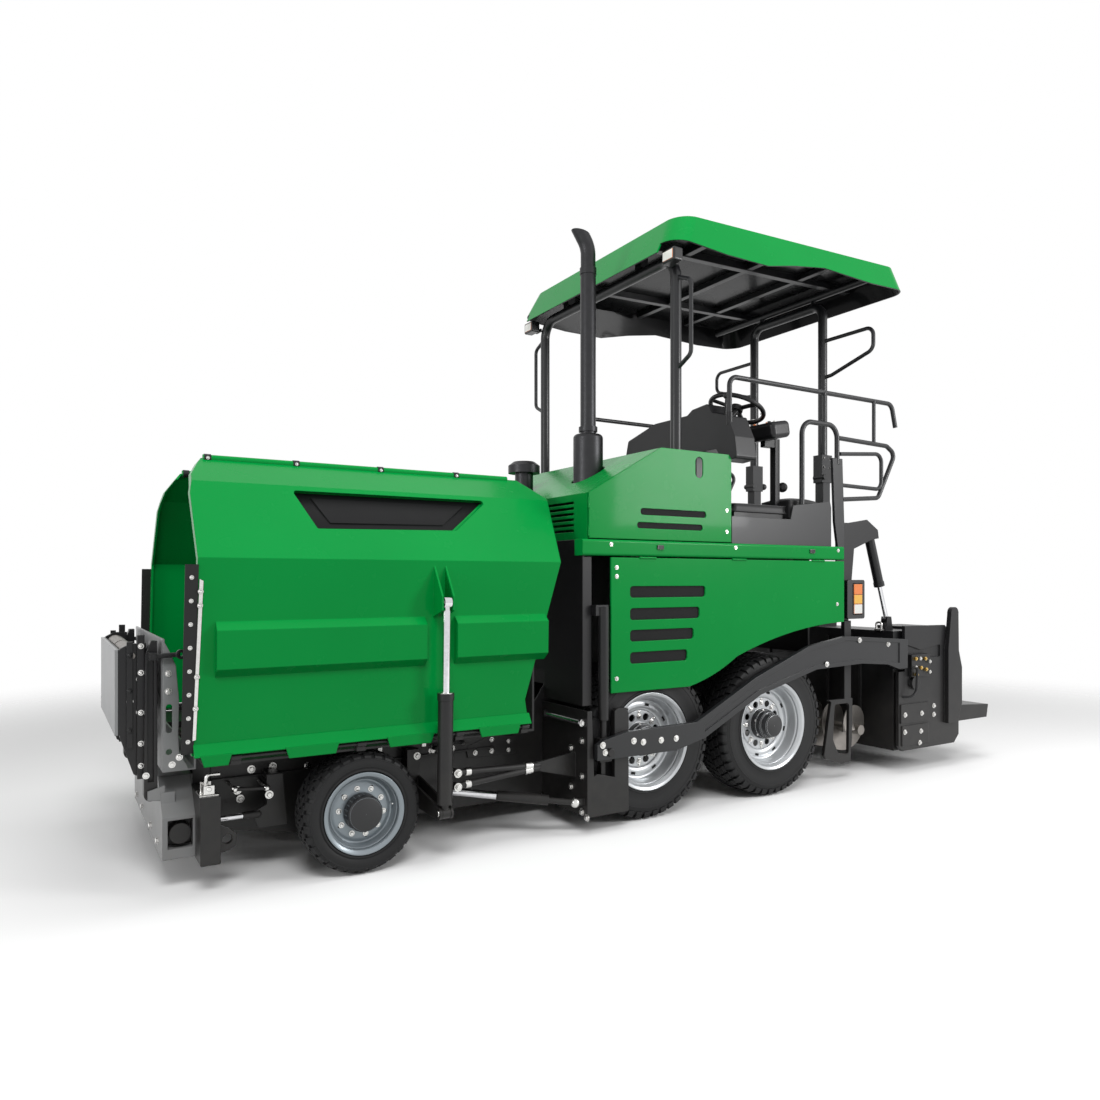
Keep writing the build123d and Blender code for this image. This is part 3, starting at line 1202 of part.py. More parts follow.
def make_lift():
    """Screed lift cylinders, hung from the body frame and open at the rod's lower eye."""
    top = Vector(lift_top_x, lift_y, lift_top_z)
    foot = Vector(lift_foot_x, lift_y, lift_foot_z)
    along = (foot - top).normalized()
    end = top + along * lift_barrel_length
    barrel = bar(tuple(top + along * 20), tuple(end), lift_barrel_radius)
    barrel = barrel + bar(tuple(end - along * 30), tuple(end), lift_barrel_radius + 4)
    barrel = barrel + y_bar(lift_top_x, lift_top_z, lift_y - 20, lift_y + 20, 30)
    barrel = barrel - y_bar(lift_top_x, lift_top_z, lift_y - 40, lift_y + 40, lift_pin_radius + pin_gap)
    barrel = barrel - bar(tuple(top + along * 40), tuple(end + along * 20), lift_rod_radius + pin_gap)
    save_pair("lift_barrel", barrel)
    rod = bar(tuple(top + along * 240), tuple(foot - along * 15), lift_rod_radius)
    rod = rod + y_bar(lift_foot_x, lift_foot_z, lift_y - 16, lift_y + 16, 26)
    save_pair("lift_rod", rod)


def make_auger():
    """Spreading augers with helical flights, and the brackets that hold them."""
    start = 40
    length = auger_half_length - start - 20
    pitch = length / auger_turns
    path = Pos(0, 0, start) * Helix(pitch, length, auger_shaft_radius - 4)
    middle = (auger_radius + auger_shaft_radius) / 2 - 4
    section = Plane(origin=path @ 0, x_dir=(1, 0, 0),
                    z_dir=path % 0) * Pos(middle - auger_shaft_radius + 4, 0) * Rectangle(
        auger_radius - auger_shaft_radius + 6, 10)
    flight = sweep(section, path=path, is_frenet=True)
    shaft = Pos(0, 0, 20) * Cylinder(auger_shaft_radius, auger_half_length - 20,
                                     align=(Align.CENTER, Align.CENTER, Align.MIN))
    auger = Pos(auger_x, 0, auger_z) * Rot(-90, 0, 0) * (shaft + flight)
    save_pair("auger", auger)

    low = auger_bracket_y
    high = low + 15
    outline = [(-1275, 572), (-1300, 560), (-1228, 200), (-1250, 172), (-1400, 122), (-1500, 132),
               (-1515, 300), (-1520, 572)]
    cheek = side_sheet(outline, low - 8, high)
    cheek = cheek - side_sheet([(-1335, 540), (-1318, 300), (-1370, 200), (-1480, 180), (-1485, 540)],
                               low - 50, high + 5, 24)
    strut = block((-1504, -1436), (low - 15, high), (560, 1115))
    middle_bracket = side_sheet([(-1480, 700), (-1480, 500), (-1620, 290), (-1700, 290), (-1700, 370),
                                 (-1560, 700)], -12, 12)
    bracket = cheek + strut
    save("auger_brackets", Compound([bracket, other_side(bracket), middle_bracket]))


make_wheels()
make_front_axle()
make_frame()
make_bulkheads()
make_hopper()
make_wings()
make_wing_cylinders()
make_front_end()
make_folding_frame()
make_hood()
make_side_doors()
make_exhaust()
make_platform()
make_handrails()
make_canopy()
make_lamps()
make_tow_brackets()
make_arms()
make_screed()
make_lift()
make_auger()
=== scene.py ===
# %% [markdown]
# # A wheeled asphalt paver, dressed
# The solids of this machine come from its construction model: they are loaded once, and stay where they are.
# Everything below adds what a painter, a tyre maker and a fitter would add: finishes, tread, bolts and trim.
# All sizes are metres. +X points forward to the hopper, +Y to the machine's left, +Z up.

import math

import bmesh
import bpy
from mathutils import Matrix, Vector


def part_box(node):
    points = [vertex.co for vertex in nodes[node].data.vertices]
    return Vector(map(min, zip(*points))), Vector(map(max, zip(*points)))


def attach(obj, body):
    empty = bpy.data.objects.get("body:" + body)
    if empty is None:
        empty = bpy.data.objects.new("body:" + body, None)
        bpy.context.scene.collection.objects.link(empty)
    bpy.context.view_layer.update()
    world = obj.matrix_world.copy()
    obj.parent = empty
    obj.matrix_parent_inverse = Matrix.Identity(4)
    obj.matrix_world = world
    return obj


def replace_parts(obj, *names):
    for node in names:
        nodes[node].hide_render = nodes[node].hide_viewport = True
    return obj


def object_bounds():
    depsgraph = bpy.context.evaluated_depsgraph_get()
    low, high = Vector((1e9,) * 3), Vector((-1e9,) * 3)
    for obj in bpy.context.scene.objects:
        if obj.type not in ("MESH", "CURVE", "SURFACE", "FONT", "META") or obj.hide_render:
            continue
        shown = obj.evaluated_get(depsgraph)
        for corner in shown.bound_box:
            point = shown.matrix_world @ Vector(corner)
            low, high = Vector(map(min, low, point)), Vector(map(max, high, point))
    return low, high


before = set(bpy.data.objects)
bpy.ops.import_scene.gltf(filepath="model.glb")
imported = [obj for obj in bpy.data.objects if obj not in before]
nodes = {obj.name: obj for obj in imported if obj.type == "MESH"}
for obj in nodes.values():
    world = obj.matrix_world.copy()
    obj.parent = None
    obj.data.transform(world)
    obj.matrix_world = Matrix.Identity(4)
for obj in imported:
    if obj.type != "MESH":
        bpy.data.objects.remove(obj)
cad_low, cad_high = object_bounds()
print("construction box:", [round(v, 3) for v in (*cad_low, *cad_high)])

SIDES = {"left": 1, "right": -1}
OUT, AHEAD, BEHIND, UP = (0, 1, 0), (1, 0, 0), (-1, 0, 0), (0, 0, 1)


# %% [markdown]
# ## Writing shaders as sums
# A material in Blender is a small network of nodes. Drawing that network by hand is slow to read back, so
# one class wraps a socket and lets Python's own signs build the Math nodes: `0.4 + 0.2 * grain` is then
# two nodes and two links. Every other node comes from `Network.add`, which sets its options first and its
# sockets second.

# %% A socket that can be added and multiplied
class Wire:
    """A shader socket that can stand in a sum."""

    def __init__(self, socket):
        self.socket = socket

    def maths(self, operation, first, second=None):
        tree = self.socket.id_data
        step = tree.nodes.new("ShaderNodeMath")
        step.operation = operation
        for place, value in zip(step.inputs, (first, second)):
            if isinstance(value, Wire):
                tree.links.new(value.socket, place)
            elif value is not None:
                place.default_value = value
        return Wire(step.outputs[0])

    def __add__(self, other):
        return self.maths("ADD", self, other)

    def __mul__(self, other):
        return self.maths("MULTIPLY", self, other)

    def __sub__(self, other):
        return self.maths("SUBTRACT", self, other)

    def __rsub__(self, other):
        return self.maths("SUBTRACT", other, self)

    def __gt__(self, other):
        return self.maths("GREATER_THAN", self, other)

    def __lt__(self, other):
        return self.maths("LESS_THAN", self, other)

    def larger(self, other):
        return self.maths("MAXIMUM", self, other)

    __radd__ = __add__
    __rmul__ = __mul__


# %% A network that is written node by node
class Network:
    """The nodes of one material, or of the world."""

    def __init__(self, owner):
        owner.use_nodes = True
        self.tree = owner.node_tree
        self.tree.nodes.clear()

    def add(self, kind, settings=None, inputs=None, out=0):
        """Any node: its type, its settings, then values or wires for its sockets."""
        node = self.tree.nodes.new(kind)
        for key, value in (settings or {}).items():
            setattr(node, key, value)
        for key, value in (inputs or {}).items():
            place = node.inputs[key] if isinstance(key, int) else next(
                s for s in node.inputs if s.identifier == key or (s.name == key and s.enabled))
            if isinstance(value, Wire):
                self.tree.links.new(value.socket, place)
            else:
                place.default_value = value
        if not node.outputs:
            return node
        if isinstance(out, str):
            return Wire(next(s for s in node.outputs if out in (s.name, s.identifier) and s.enabled))
        return Wire(node.outputs[out])

    def shown(self):
        """1 for the camera and what it sees mirrored or through glass, 0 for light that falls on things."""
        camera, mirrored, through = (self.add("ShaderNodeLightPath", out=f"Is {kind} Ray")
                                     for kind in ("Camera", "Glossy", "Transmission"))
        return camera.larger(mirrored).larger(through)


# %% A material
class Finish(Network):
    """One material in the making."""

    def __init__(self, name):
        self.material = bpy.data.materials.new(name)
        super().__init__(self.material)
        self.place = self.add("ShaderNodeTexCoord", out="Object")

    def grain(self, scale, detail=3.0):
        """Cloudy noise from 0 to 1, in the piece's own space."""
        return self.add("ShaderNodeTexNoise", None, {"Vector": self.place, "Scale": scale, "Detail": detail},
                        out="Fac")

    def blend(self, factor, first, second):
        """Two colours mixed by a wire from 0 to 1."""
        return self.add("ShaderNodeMix", {"data_type": "RGBA"},
                        {"Factor_Float": factor, "A_Color": first, "B_Color": second}, out="Result_Color")

    def bumps(self, height, distance, strength):
        return self.add("ShaderNodeBump", None,
                        {"Height": height, "Distance": distance, "Strength": strength}, out="Normal")

    def close(self, **sockets):
        """The surface shader. Underscores in the socket names stand for blanks."""
        inputs = {key.replace("_", " "): value for key, value in sockets.items()}
        surface = self.add("ShaderNodeBsdfPrincipled", None, inputs, out="BSDF")
        self.add("ShaderNodeOutputMaterial", None, {"Surface": surface})
        return self.material


# %% [markdown]
# ## A small workshop
# Bolts, plates, pipes and tyre lugs are all made by the same few moves. A `Piece` gathers corners and faces
# in one list, each face with its finish, so forty bolts become one object. When it is built, every sharp
# edge gets a small chamfer, because real edges are never perfectly sharp and the chamfer catches the light.

# %% Piece
CHAMFERED = 0.75        # faces that meet at more than this turn, in radians, get a chamfer between them
SHADED_SHARP = 0.56     # and from this turn on the edge is shaded sharp
BALL_RINGS = 8          # rings from one pole of a ball to the other


def put_in_scene(name, shaper, finishes):
    """The finished mesh as an object."""
    mesh = bpy.data.meshes.new(name)
    shaper.to_mesh(mesh)
    shaper.free()
    for finish in finishes:
        mesh.materials.append(finish)
    piece = bpy.data.objects.new(name, mesh)
    bpy.context.scene.collection.objects.link(piece)
    return piece


class Piece:
    """One mesh in the making, in metres, in the machine's own frame."""

    def __init__(self, name, body, chamfer=0.0015):
        self.name = name
        self.body = body
        self.chamfer = chamfer
        self.corners = []
        self.faces = []
        self.finishes = []

    def solid(self, corners, faces, finish):
        """Adds corners, and faces that count from the first of them."""
        start = len(self.corners)
        if finish not in self.finishes:
            self.finishes.append(finish)
        number = self.finishes.index(finish)
        self.corners.extend(Vector(c) for c in corners)
        self.faces.extend(([start + k for k in face], number) for face in faces)

    def prism(self, corners, finish):
        """A solid between two rings of corners: the first half of the list, and the second."""
        count = len(corners) // 2
        sides = [(k, (k + 1) % count, (k + 1) % count + count, k + count) for k in range(count)]
        self.solid(corners, [tuple(range(count)), tuple(range(count, 2 * count)), *sides], finish)

    def plate(self, outline, low, high, finish):
        """A flat upright plate: its outline in X and Z, and its limits in Y."""
        self.prism([(x, level, z) for level in (low, high) for x, z in outline], finish)

    def block(self, low, high, finish):
        """A box between two corners."""
        (x0, y0, z0), (x1, y1, z1) = low, high
        self.prism([(x, y, z) for z in (z0, z1) for x, y in ((x0, y0), (x1, y0), (x1, y1), (x0, y1))], finish)

    def turned(self, profile, centre, axis, finish, steps=48, closed=False):
        """A body of revolution from (radius, distance along the axis) pairs."""
        axis = Vector(axis).normalized()
        across = axis.orthogonal().normalized()
        third = axis.cross(across)
        centre = Vector(centre)
        corners = []
        for radius, along in profile:
            for k in range(steps):
                turn = 2 * math.pi * k / steps
                outward = across * math.cos(turn) + third * math.sin(turn)
                corners.append(centre + axis * along + outward * radius)
        faces = []
        rings = len(profile)
        for ring in range(rings if closed else rings - 1):
            after = (ring + 1) % rings
            here, there = ring * steps, after * steps
            for k in range(steps):
                next_k = (k + 1) % steps
                faces.append((here + k, here + next_k, there + next_k, there + k))
        if not closed:
            faces.append(tuple(range(steps)))
            faces.append(tuple((rings - 1) * steps + k for k in range(steps)))
        self.solid(corners, faces, finish)

    def sleeve(self, centre, axis, start, end, inner, outer, finish, steps=24):
        """A tube about an axis, from one distance along it to another."""
        self.turned([(inner, start), (outer, start), (outer, end), (inner, end)], centre, axis, finish, steps,
                    closed=True)

    def rod(self, start, end, radius, finish, sides=20):
        line = Vector(end) - Vector(start)
        self.turned([(radius, 0), (radius, line.length)], start, line, finish, sides)

    def ball(self, centre, radius, finish):
        """A ball with a pinhead's flat at each pole."""
        tilts = [math.pi * k / BALL_RINGS for k in range(BALL_RINGS + 1)]
        profile = [(radius * math.sin(tilt), -radius * math.cos(tilt)) for tilt in tilts]
        profile[0] = (radius * 0.02, -radius)
        profile[-1] = (radius * 0.02, radius)
        self.turned(profile, centre, UP, finish, 16)

    def bolt(self, place, direction, finish, size):
        """A hexagon head on its washer; the size is the head's radius."""
        self.turned([(1.5 * size, 0), (1.5 * size, 0.18 * size)], place, direction, finish, 16)
        head = Vector(place) + Vector(direction).normalized() * 0.18 * size
        self.turned([(size, 0), (size, 0.6 * size), (0.82 * size, 0.8 * size)], head, direction, finish, 6)

    def pipe(self, points, radius, finish, bend=0.05, sides=12):
        """A round pipe or hose along a polyline, its corners bent to a radius."""
        path = bent_path([Vector(p) for p in points], bend)
        corners, faces = [], []
        before = (path[1] - path[0]).normalized()
        across = before.orthogonal().normalized()
        for index, place in enumerate(path):
            ahead = (path[min(index + 1, len(path) - 1)] - path[max(index - 1, 0)]).normalized()
            across = (across - ahead * across.dot(ahead)).normalized()
            third = ahead.cross(across)
            for k in range(sides):
                turn = 2 * math.pi * k / sides
                corners.append(place + (across * math.cos(turn) + third * math.sin(turn)) * radius)
            if index:
                low, high = (index - 1) * sides, index * sides
                faces += [(low + k, low + (k + 1) % sides, high + (k + 1) % sides, high + k)
                          for k in range(sides)]
        faces.append(tuple(range(sides)))
        faces.append(tuple((len(path) - 1) * sides + k for k in range(sides)))
        self.solid(corners, faces, finish)

    def made(self, name, signs):
        """The object itself. `signs` are the Y signs to build: (1,), (-1,) or (1, -1) for both at once."""
        shaper = bmesh.new()
        for sign in signs:
            corners = [shaper.verts.new((c.x, sign * c.y, c.z)) for c in self.corners]
            for face, number in self.faces:
                shaper.faces.new([corners[k] for k in face]).material_index = number
        bmesh.ops.recalc_face_normals(shaper, faces=shaper.faces[:])
        if self.chamfer:
            sharp = [e for e in shaper.edges if len(e.link_faces) == 2 and e.calc_face_angle() > CHAMFERED]
            bmesh.ops.bevel(shaper, geom=sharp, offset=self.chamfer, segments=1, affect="EDGES",
                            clamp_overlap=True)
        for face in shaper.faces:
            face.smooth = True
        for edge in shaper.edges:
            edge.smooth = len(edge.link_faces) == 2 and edge.calc_face_angle() < SHADED_SHARP
        return put_in_scene(name, shaper, self.finishes)

    def ride(self, both_sides=False):
        """Fixed to its body; with both_sides it also has its mirror image on the other side."""
        piece = self.made(self.name, (1, -1) if both_sides else (1,))
        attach(piece, self.body)
        return piece

    def ride_twins(self):
        """A left piece and its mirror image, each on its own side's body."""
        for side, sign in SIDES.items():
            piece = self.made(f"{self.name}_{side}", (sign,))
            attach(piece, f"{self.body}_{side}")


def bent_path(points, bend, steps=6):
    """The polyline with each inner corner replaced by an arc-like curve."""
    path = [points[0]]
    for before, corner, after in zip(points, points[1:], points[2:]):
        back = before - corner
        ahead = after - corner
        cut = min(bend, 0.45 * back.length, 0.45 * ahead.length)
        start, end = corner + back.normalized() * cut, corner + ahead.normalized() * cut
        for k in range(steps + 1):
            share = k / steps
            path.append(start.lerp(corner, share).lerp(corner.lerp(end, share), share))
    path.append(points[-1])
    return path


# %% [markdown]
# ## Painted steel
# Most of the machine is sprayed steel: glossy green on the bodywork and satin black on the frame. Sprayed
# paint is never one flat colour: it pools and thins a little, and its skin has the fine ripple called orange
# peel. The ripple is a bump so small that it only shows where a lamp is mirrored.

# %% Paint
EDGE_RADIUS = 0.006     # how far the paint rounds a folded or cut edge of the sheet
DUST_COLOUR = (0.20, 0.18, 0.15)
CLEAN_ABOVE = 1.1       # heights between which the road's dust thins out
DUSTY_BELOW = 0.1
FACE_PLATE_X = 3.038    # what lies ahead of this on the folding frame is its grey face plate
ROOF_MIDDLE_Z = 3.0     # a height that all the roof's inner faces look down to


def paint(name, colour, gloss, clear_coat, dust=0.0, metallic=0.0, mirror=0.5, other=None):
    """Sprayed paint: a colour, its roughness, a clear coat from 0 to 1 and a share of dust low down.
    `mirror` is the strength of its gloss, and `other` a second colour with the mask of its places."""
    finish = Finish(name)
    patches = finish.grain(2.2, 4)
    ripple = finish.grain(420, 2)
    darker = tuple(0.86 * channel for channel in colour)
    body = finish.blend(patches, (*darker, 1), (*colour, 1))
    if dust:
        height = finish.add("ShaderNodeSeparateXYZ", None, {"Vector": finish.place}, out="Z")
        low = finish.add("ShaderNodeMapRange", {"interpolation_type": "SMOOTHSTEP"},
                         {"Value": height, "From Min": CLEAN_ABOVE, "From Max": DUSTY_BELOW}, out="Result")
        speckle = finish.grain(14, 6)
        share = dust * low * speckle
        body = finish.blend(share, body, (*DUST_COLOUR, 1))
    if other:
        second, where = other
        body = finish.blend(where(finish), body, (*second, 1))
    rough = gloss + 0.10 * (finish.grain(9, 5) - 0.5)
    rounded = finish.add("ShaderNodeBevel", {"samples": 4}, {"Radius": EDGE_RADIUS}, out="Normal")
    skin = finish.add("ShaderNodeBump", None, {"Height": ripple, "Distance": 0.0001, "Strength": 0.35,
                                               "Normal": rounded}, out="Normal")
    return finish.close(Base_Color=body, Roughness=rough, Metallic=metallic, Specular_IOR_Level=mirror,
                        Coat_Weight=clear_coat, Coat_Roughness=0.06, Normal=skin)


def under_roof(finish):
    """1 on the faces that look to the middle of the canopy: its ceiling and the inside of its skirt."""
    roof_low, roof_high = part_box("canopy_roof")
    middle = (roof_low + roof_high) / 2
    middle.z = ROOF_MIDDLE_Z
    from_middle = finish.add("ShaderNodeVectorMath", {"operation": "SUBTRACT"}, {0: finish.place, 1: middle},
                             out="Vector")
    facing = finish.add("ShaderNodeTexCoord", out="Normal")
    towards = finish.add("ShaderNodeVectorMath", {"operation": "DOT_PRODUCT"}, {0: from_middle, 1: facing},
                         out="Value")
    return towards < 0.0


def face_plate(finish):
    """1 on the grey plate at the very front of the folding frame."""
    along = finish.add("ShaderNodeSeparateXYZ", None, {"Vector": finish.place}, out="X")
    return along > FACE_PLATE_X


GREEN = (0.0003, 0.262, 0.044)
BLACK = (0.0075, 0.0075, 0.0085)
green_paint = paint("green_paint", GREEN, 0.26, 0.08, mirror=0.07)
roof_paint = paint("roof_paint", GREEN, 0.26, 0.08, mirror=0.07, other=((0.012, 0.012, 0.013), under_roof))
frame_paint = paint("frame_paint", BLACK, 0.40, 0.06, dust=0.10, mirror=0.35)
post_paint = paint("post_paint", (0.014, 0.0145, 0.016), 0.36, 0.10, mirror=0.40)
folding_paint = paint("folding_paint", BLACK, 0.40, 0.06, dust=0.10, mirror=0.35,
                      other=((0.30, 0.305, 0.31), face_plate))
liner_paint = paint("liner_paint", (0.004, 0.004, 0.0045), 0.50, 0.0, mirror=0.25)
lamp_paint = paint("lamp_paint", BLACK, 0.35, 0.20)
pale_paint = paint("pale_paint", (0.25, 0.255, 0.26), 0.38, 0.10, dust=0.3)
silver_paint = paint("silver_paint", (0.60, 0.62, 0.64), 0.30, 0.20, dust=0.10, metallic=0.55)
steel_blue_paint = paint("steel_blue_paint", (0.27, 0.31, 0.34), 0.30, 0.20, dust=0.10, metallic=0.45)


# %% [markdown]
# ## Bare metal, rubber and the rest
# Ram rods are hard chrome, so they are almost mirrors. Bolts are zinc plated, duller and slightly yellow.
# The auger and the conveyor are worn bright by the asphalt. Rubber is dark and dull, with a grey bloom.

# %% Metals
def metal(name, colour, roughness, spread, scale, ripple):
    """Bare or plated metal with a roughness that wanders."""
    finish = Finish(name)
    stain = finish.grain(scale, 6)
    darker = tuple(0.70 * channel for channel in colour)
    body = finish.blend(stain, (*darker, 1), (*colour, 1))
    rough = roughness + spread * (finish.grain(3 * scale, 4) - 0.5)
    return finish.close(Base_Color=body, Roughness=rough, Metallic=1.0,
                        Normal=finish.bumps(stain, ripple, 0.4))


chrome = metal("hard_chrome", (0.80, 0.80, 0.82), 0.10, 0.05, 60, 0.0001)
zinc = metal("zinc_plate", (0.80, 0.79, 0.77), 0.26, 0.20, 90, 0.0002)
brass = metal("yellow_zinc", (0.72, 0.52, 0.20), 0.30, 0.15, 90, 0.0002)
worn_steel = metal("worn_steel", (0.30, 0.28, 0.26), 0.46, 0.30, 25, 0.0006)
cast_iron = metal("cast_iron", (0.10, 0.10, 0.10), 0.60, 0.20, 60, 0.0008)
exhaust_steel = metal("exhaust_steel", (0.055, 0.055, 0.058), 0.42, 0.20, 30, 0.0003)


# %% Rubber and vinyl
def rubber(name, colour, roughness, bloom, scale=30):
    """Rubber or vinyl: fine pores, and a bloom that clouds it in patches."""
    finish = Finish(name)
    cloud = finish.grain(scale, 6)
    pores = finish.grain(900, 2)
    body = finish.blend(cloud, (*colour, 1), (*[c + bloom for c in colour], 1))
    return finish.close(Base_Color=body, Roughness=roughness + 0.15 * (cloud - 0.5), Specular_IOR_Level=0.30,
                        Normal=finish.bumps(pores, 0.0003, 0.5))


tyre_rubber = rubber("tyre_rubber", (0.0065, 0.0065, 0.007), 0.56, 0.007, 12)
hose_rubber = rubber("hose_rubber", (0.008, 0.008, 0.009), 0.42, 0.006)
seat_vinyl = rubber("seat_vinyl", (0.012, 0.012, 0.013), 0.44, 0.008, 60)
strip_rubber = rubber("strip_rubber", (0.008, 0.008, 0.008), 0.55, 0.006)


# %% Dressing the construction parts
def dress(material, *names):
    """Gives whole parts one finish, in the material slot that they already have."""
    for name in names:
        part = nodes[name]
        part.data.materials.clear()
        part.data.materials.append(material)


def both(*stems):
    """The names of the left and the right part of each kind."""
    return [f"{stem}_{side}" for stem in stems for side in SIDES]


dress(roof_paint, "canopy_roof")
dress(folding_paint, "folding_frame")
dress(green_paint, "hood", "side_rails", *both("hood_door", "side_door", "wing"))
dress(frame_paint, "main_frame", "cross_members", "front_axle", "body_frame", "hopper_floor", "tow_brackets",
      "tandem_beams", "bumper_blocks", "auger_brackets", "main_screed", "console",
      *both("knuckle", "screed_extension", "wing_barrel", "lift_barrel"))
dress(post_paint, "platform", "canopy_posts", "handrails", "tow_arms")
dress(pale_paint, "push_beam", "front_apron")
dress(silver_paint, *both("mid_rim", "rear_rim"))
dress(steel_blue_paint, *both("front_rim"))
dress(tyre_rubber, *both("front_tyre", "mid_tyre", "rear_tyre"))
dress(chrome, *both("wing_rod", "lift_rod"))
dress(worn_steel, "conveyor", "push_rollers", *both("auger"))
dress(cast_iron, "engine_block")
dress(exhaust_steel, "exhaust", "air_intake")
dress(seat_vinyl, "seats")
dress(lamp_paint, "lamps")
bare = [name for name, part in nodes.items() if not part.data.materials]
print("parts without a finish:", bare or "none")


# %% [markdown]
# ## Tyres with real tread
# The construction model has plain tyres with notched shoulders. Here each gets its tread: a smooth carcass
# turned from one outline, and lugs that stand on it. A lug is a prism whose outline is drawn across the
# tyre, as (distance from the middle, radius), and which covers a few centimetres of the tyre's way round.

# %% Tyres
def around(centre, radius, turn, across):
    """A point at this radius and turn about a wheel's axle, this far along it."""
    return centre + Vector((radius * math.cos(turn), across, radius * math.sin(turn)))


def add_lug(piece, centre, outline, start, end, skew, finish):
    """One lug: the outline set up at two places round the tyre. The skew leans it like a chevron."""
    first = outline[0][0]
    piece.prism([around(centre, radius, along + skew * (across - first), across)
                 for along in (start, end) for across, radius in outline], finish)


def make_tyre(name, centre, radius, half, rim, lugs):
    """Carcass and three rows of lugs to each side of the middle, staggered like bricks."""
    piece = Piece(name, name.replace("tyre", "wheel"), chamfer=0.0012)
    tread_depth = 0.030 * radius + 0.004
    floor = radius - tread_depth
    wall = 0.5 * (rim + radius)
    side = [(rim - 0.020, half - 0.016), (rim + 0.002, half - 0.010), (rim + 0.008, half - 0.002),
            (rim + 0.016, half - 0.003), (rim + 0.019, half - 0.0075), (wall - 0.02, half - 0.0015),
            (wall, half), (wall + 0.012, half - 0.0005), (wall + 0.014, half + 0.0012),
            (wall + 0.017, half + 0.0012), (wall + 0.019, half - 0.001), (0.92 * radius, half - 0.008),
            (0.95 * radius, half - 0.018), (floor - 0.003, half - 0.036), (floor, 0.45 * half)]
    profile = side + [(r, -y) for r, y in reversed(side)]
    piece.turned(profile, centre, OUT, tyre_rubber, 96, closed=True)
    inner = [(0.003, floor - 0.002), (0.003, radius - 0.0006), (0.34 * half, radius - 0.001),
             (0.34 * half, floor - 0.002)]
    middle = [(0.38 * half, floor - 0.002), (0.38 * half, radius - 0.001), (0.64 * half, radius - 0.003),
              (0.64 * half, floor - 0.003)]
    outer = [(0.69 * half, floor - 0.003), (0.69 * half, radius - 0.0035), (half - 0.020, radius - 0.009),
             (half - 0.006, radius - 0.016), (half - 0.001, 0.905 * radius), (half - 0.012, 0.90 * radius),
             (half - 0.030, floor - 0.012)]
    # outline, shift in pitches, half length in pitches, skew
    rows = [(inner, 0.0, 0.40, 1.1), (middle, 0.5, 0.38, 0.9), (outer, 0.0, 0.34, 0.25)]
    pitch = 2 * math.pi / lugs
    for index in range(lugs):
        # real tyres vary the lugs' length a little, so that they don't hum
        length = 1.0 + 0.05 * math.sin(3.7 * index)
        for hand in (1, -1):
            for outline, shift, reach, skew in rows:
                turn = pitch * (index + 0.25 * hand + shift)
                start, end = turn - reach * pitch, turn + reach * pitch * length
                handed = [(hand * across, height) for across, height in outline]
                add_lug(piece, centre, handed, start, end, hand * skew, tyre_rubber)
    tyre = piece.ride()
    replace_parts(tyre, name)
    return len(tyre.data.polygons)


# %% [markdown]
# ## Wheels
# A steel wheel is pressed and rolled: a dish in the middle that is bolted to the hub, and a barrel with a
# rolled edge that holds the tyre. The rear dish is pierced by a ring of round holes between its nuts. To cut
# a round hole without a boolean, each part of the ring is drawn as rays from the hole's middle.

# %% Pierced ring
LEVEL = 1e-6    # a ray that rises less than this meets no edge
FAR = 1e9


def add_pierced_ring(piece, centre, hand, inner, outer, face, depth, holes, ring, hole, finish):
    """A flat ring with round holes, as two skins and the walls of the holes."""
    half_turn = math.pi / holes
    half_side = half_turn * ring
    to_corners = [math.atan2(edge - ring, side * half_side) for edge in (outer, inner) for side in (1, -1)]
    evenly = [k * math.pi / 12 for k in range(24)]
    rays = sorted({round(ray % (2 * math.pi), 6) for ray in (*to_corners, *evenly)})
    for index in range(holes):
        middle = 2 * half_turn * (index + 0.5)
        corners = []
        for level in (face, face - depth):
            for ray in rays:
                up, along = math.sin(ray), math.cos(ray)
                to_edge = (outer - ring) / up if up > LEVEL else (inner - ring) / up if up < -LEVEL else FAR
                to_side = half_side / abs(along) if abs(along) > LEVEL else FAR
                for length in (hole, min(to_edge, to_side)):
                    turn = middle + length * along / ring
                    corners.append(around(centre, ring + length * up, turn, hand * level))
        faces = []
        back = 2 * len(rays)
        for a in range(0, back, 2):
            b = (a + 2) % back
            faces += [(a, b, b + 1, a + 1), (a + back, b + back, b + back + 1, a + back + 1),
                      (a, b, b + back, a + back)]
        piece.solid(corners, faces, finish)


def ring_places(centre, hand, radius, level, count, phase=0.0):
    """Evenly spaced places on a wheel's face."""
    turns = [2 * math.pi * (index + phase) / count for index in range(count)]
    return [around(centre, radius, turn, hand * level) for turn in turns]


# %% Rims
HOLES = 8       # round holes in a rear wheel, with a nut between each two


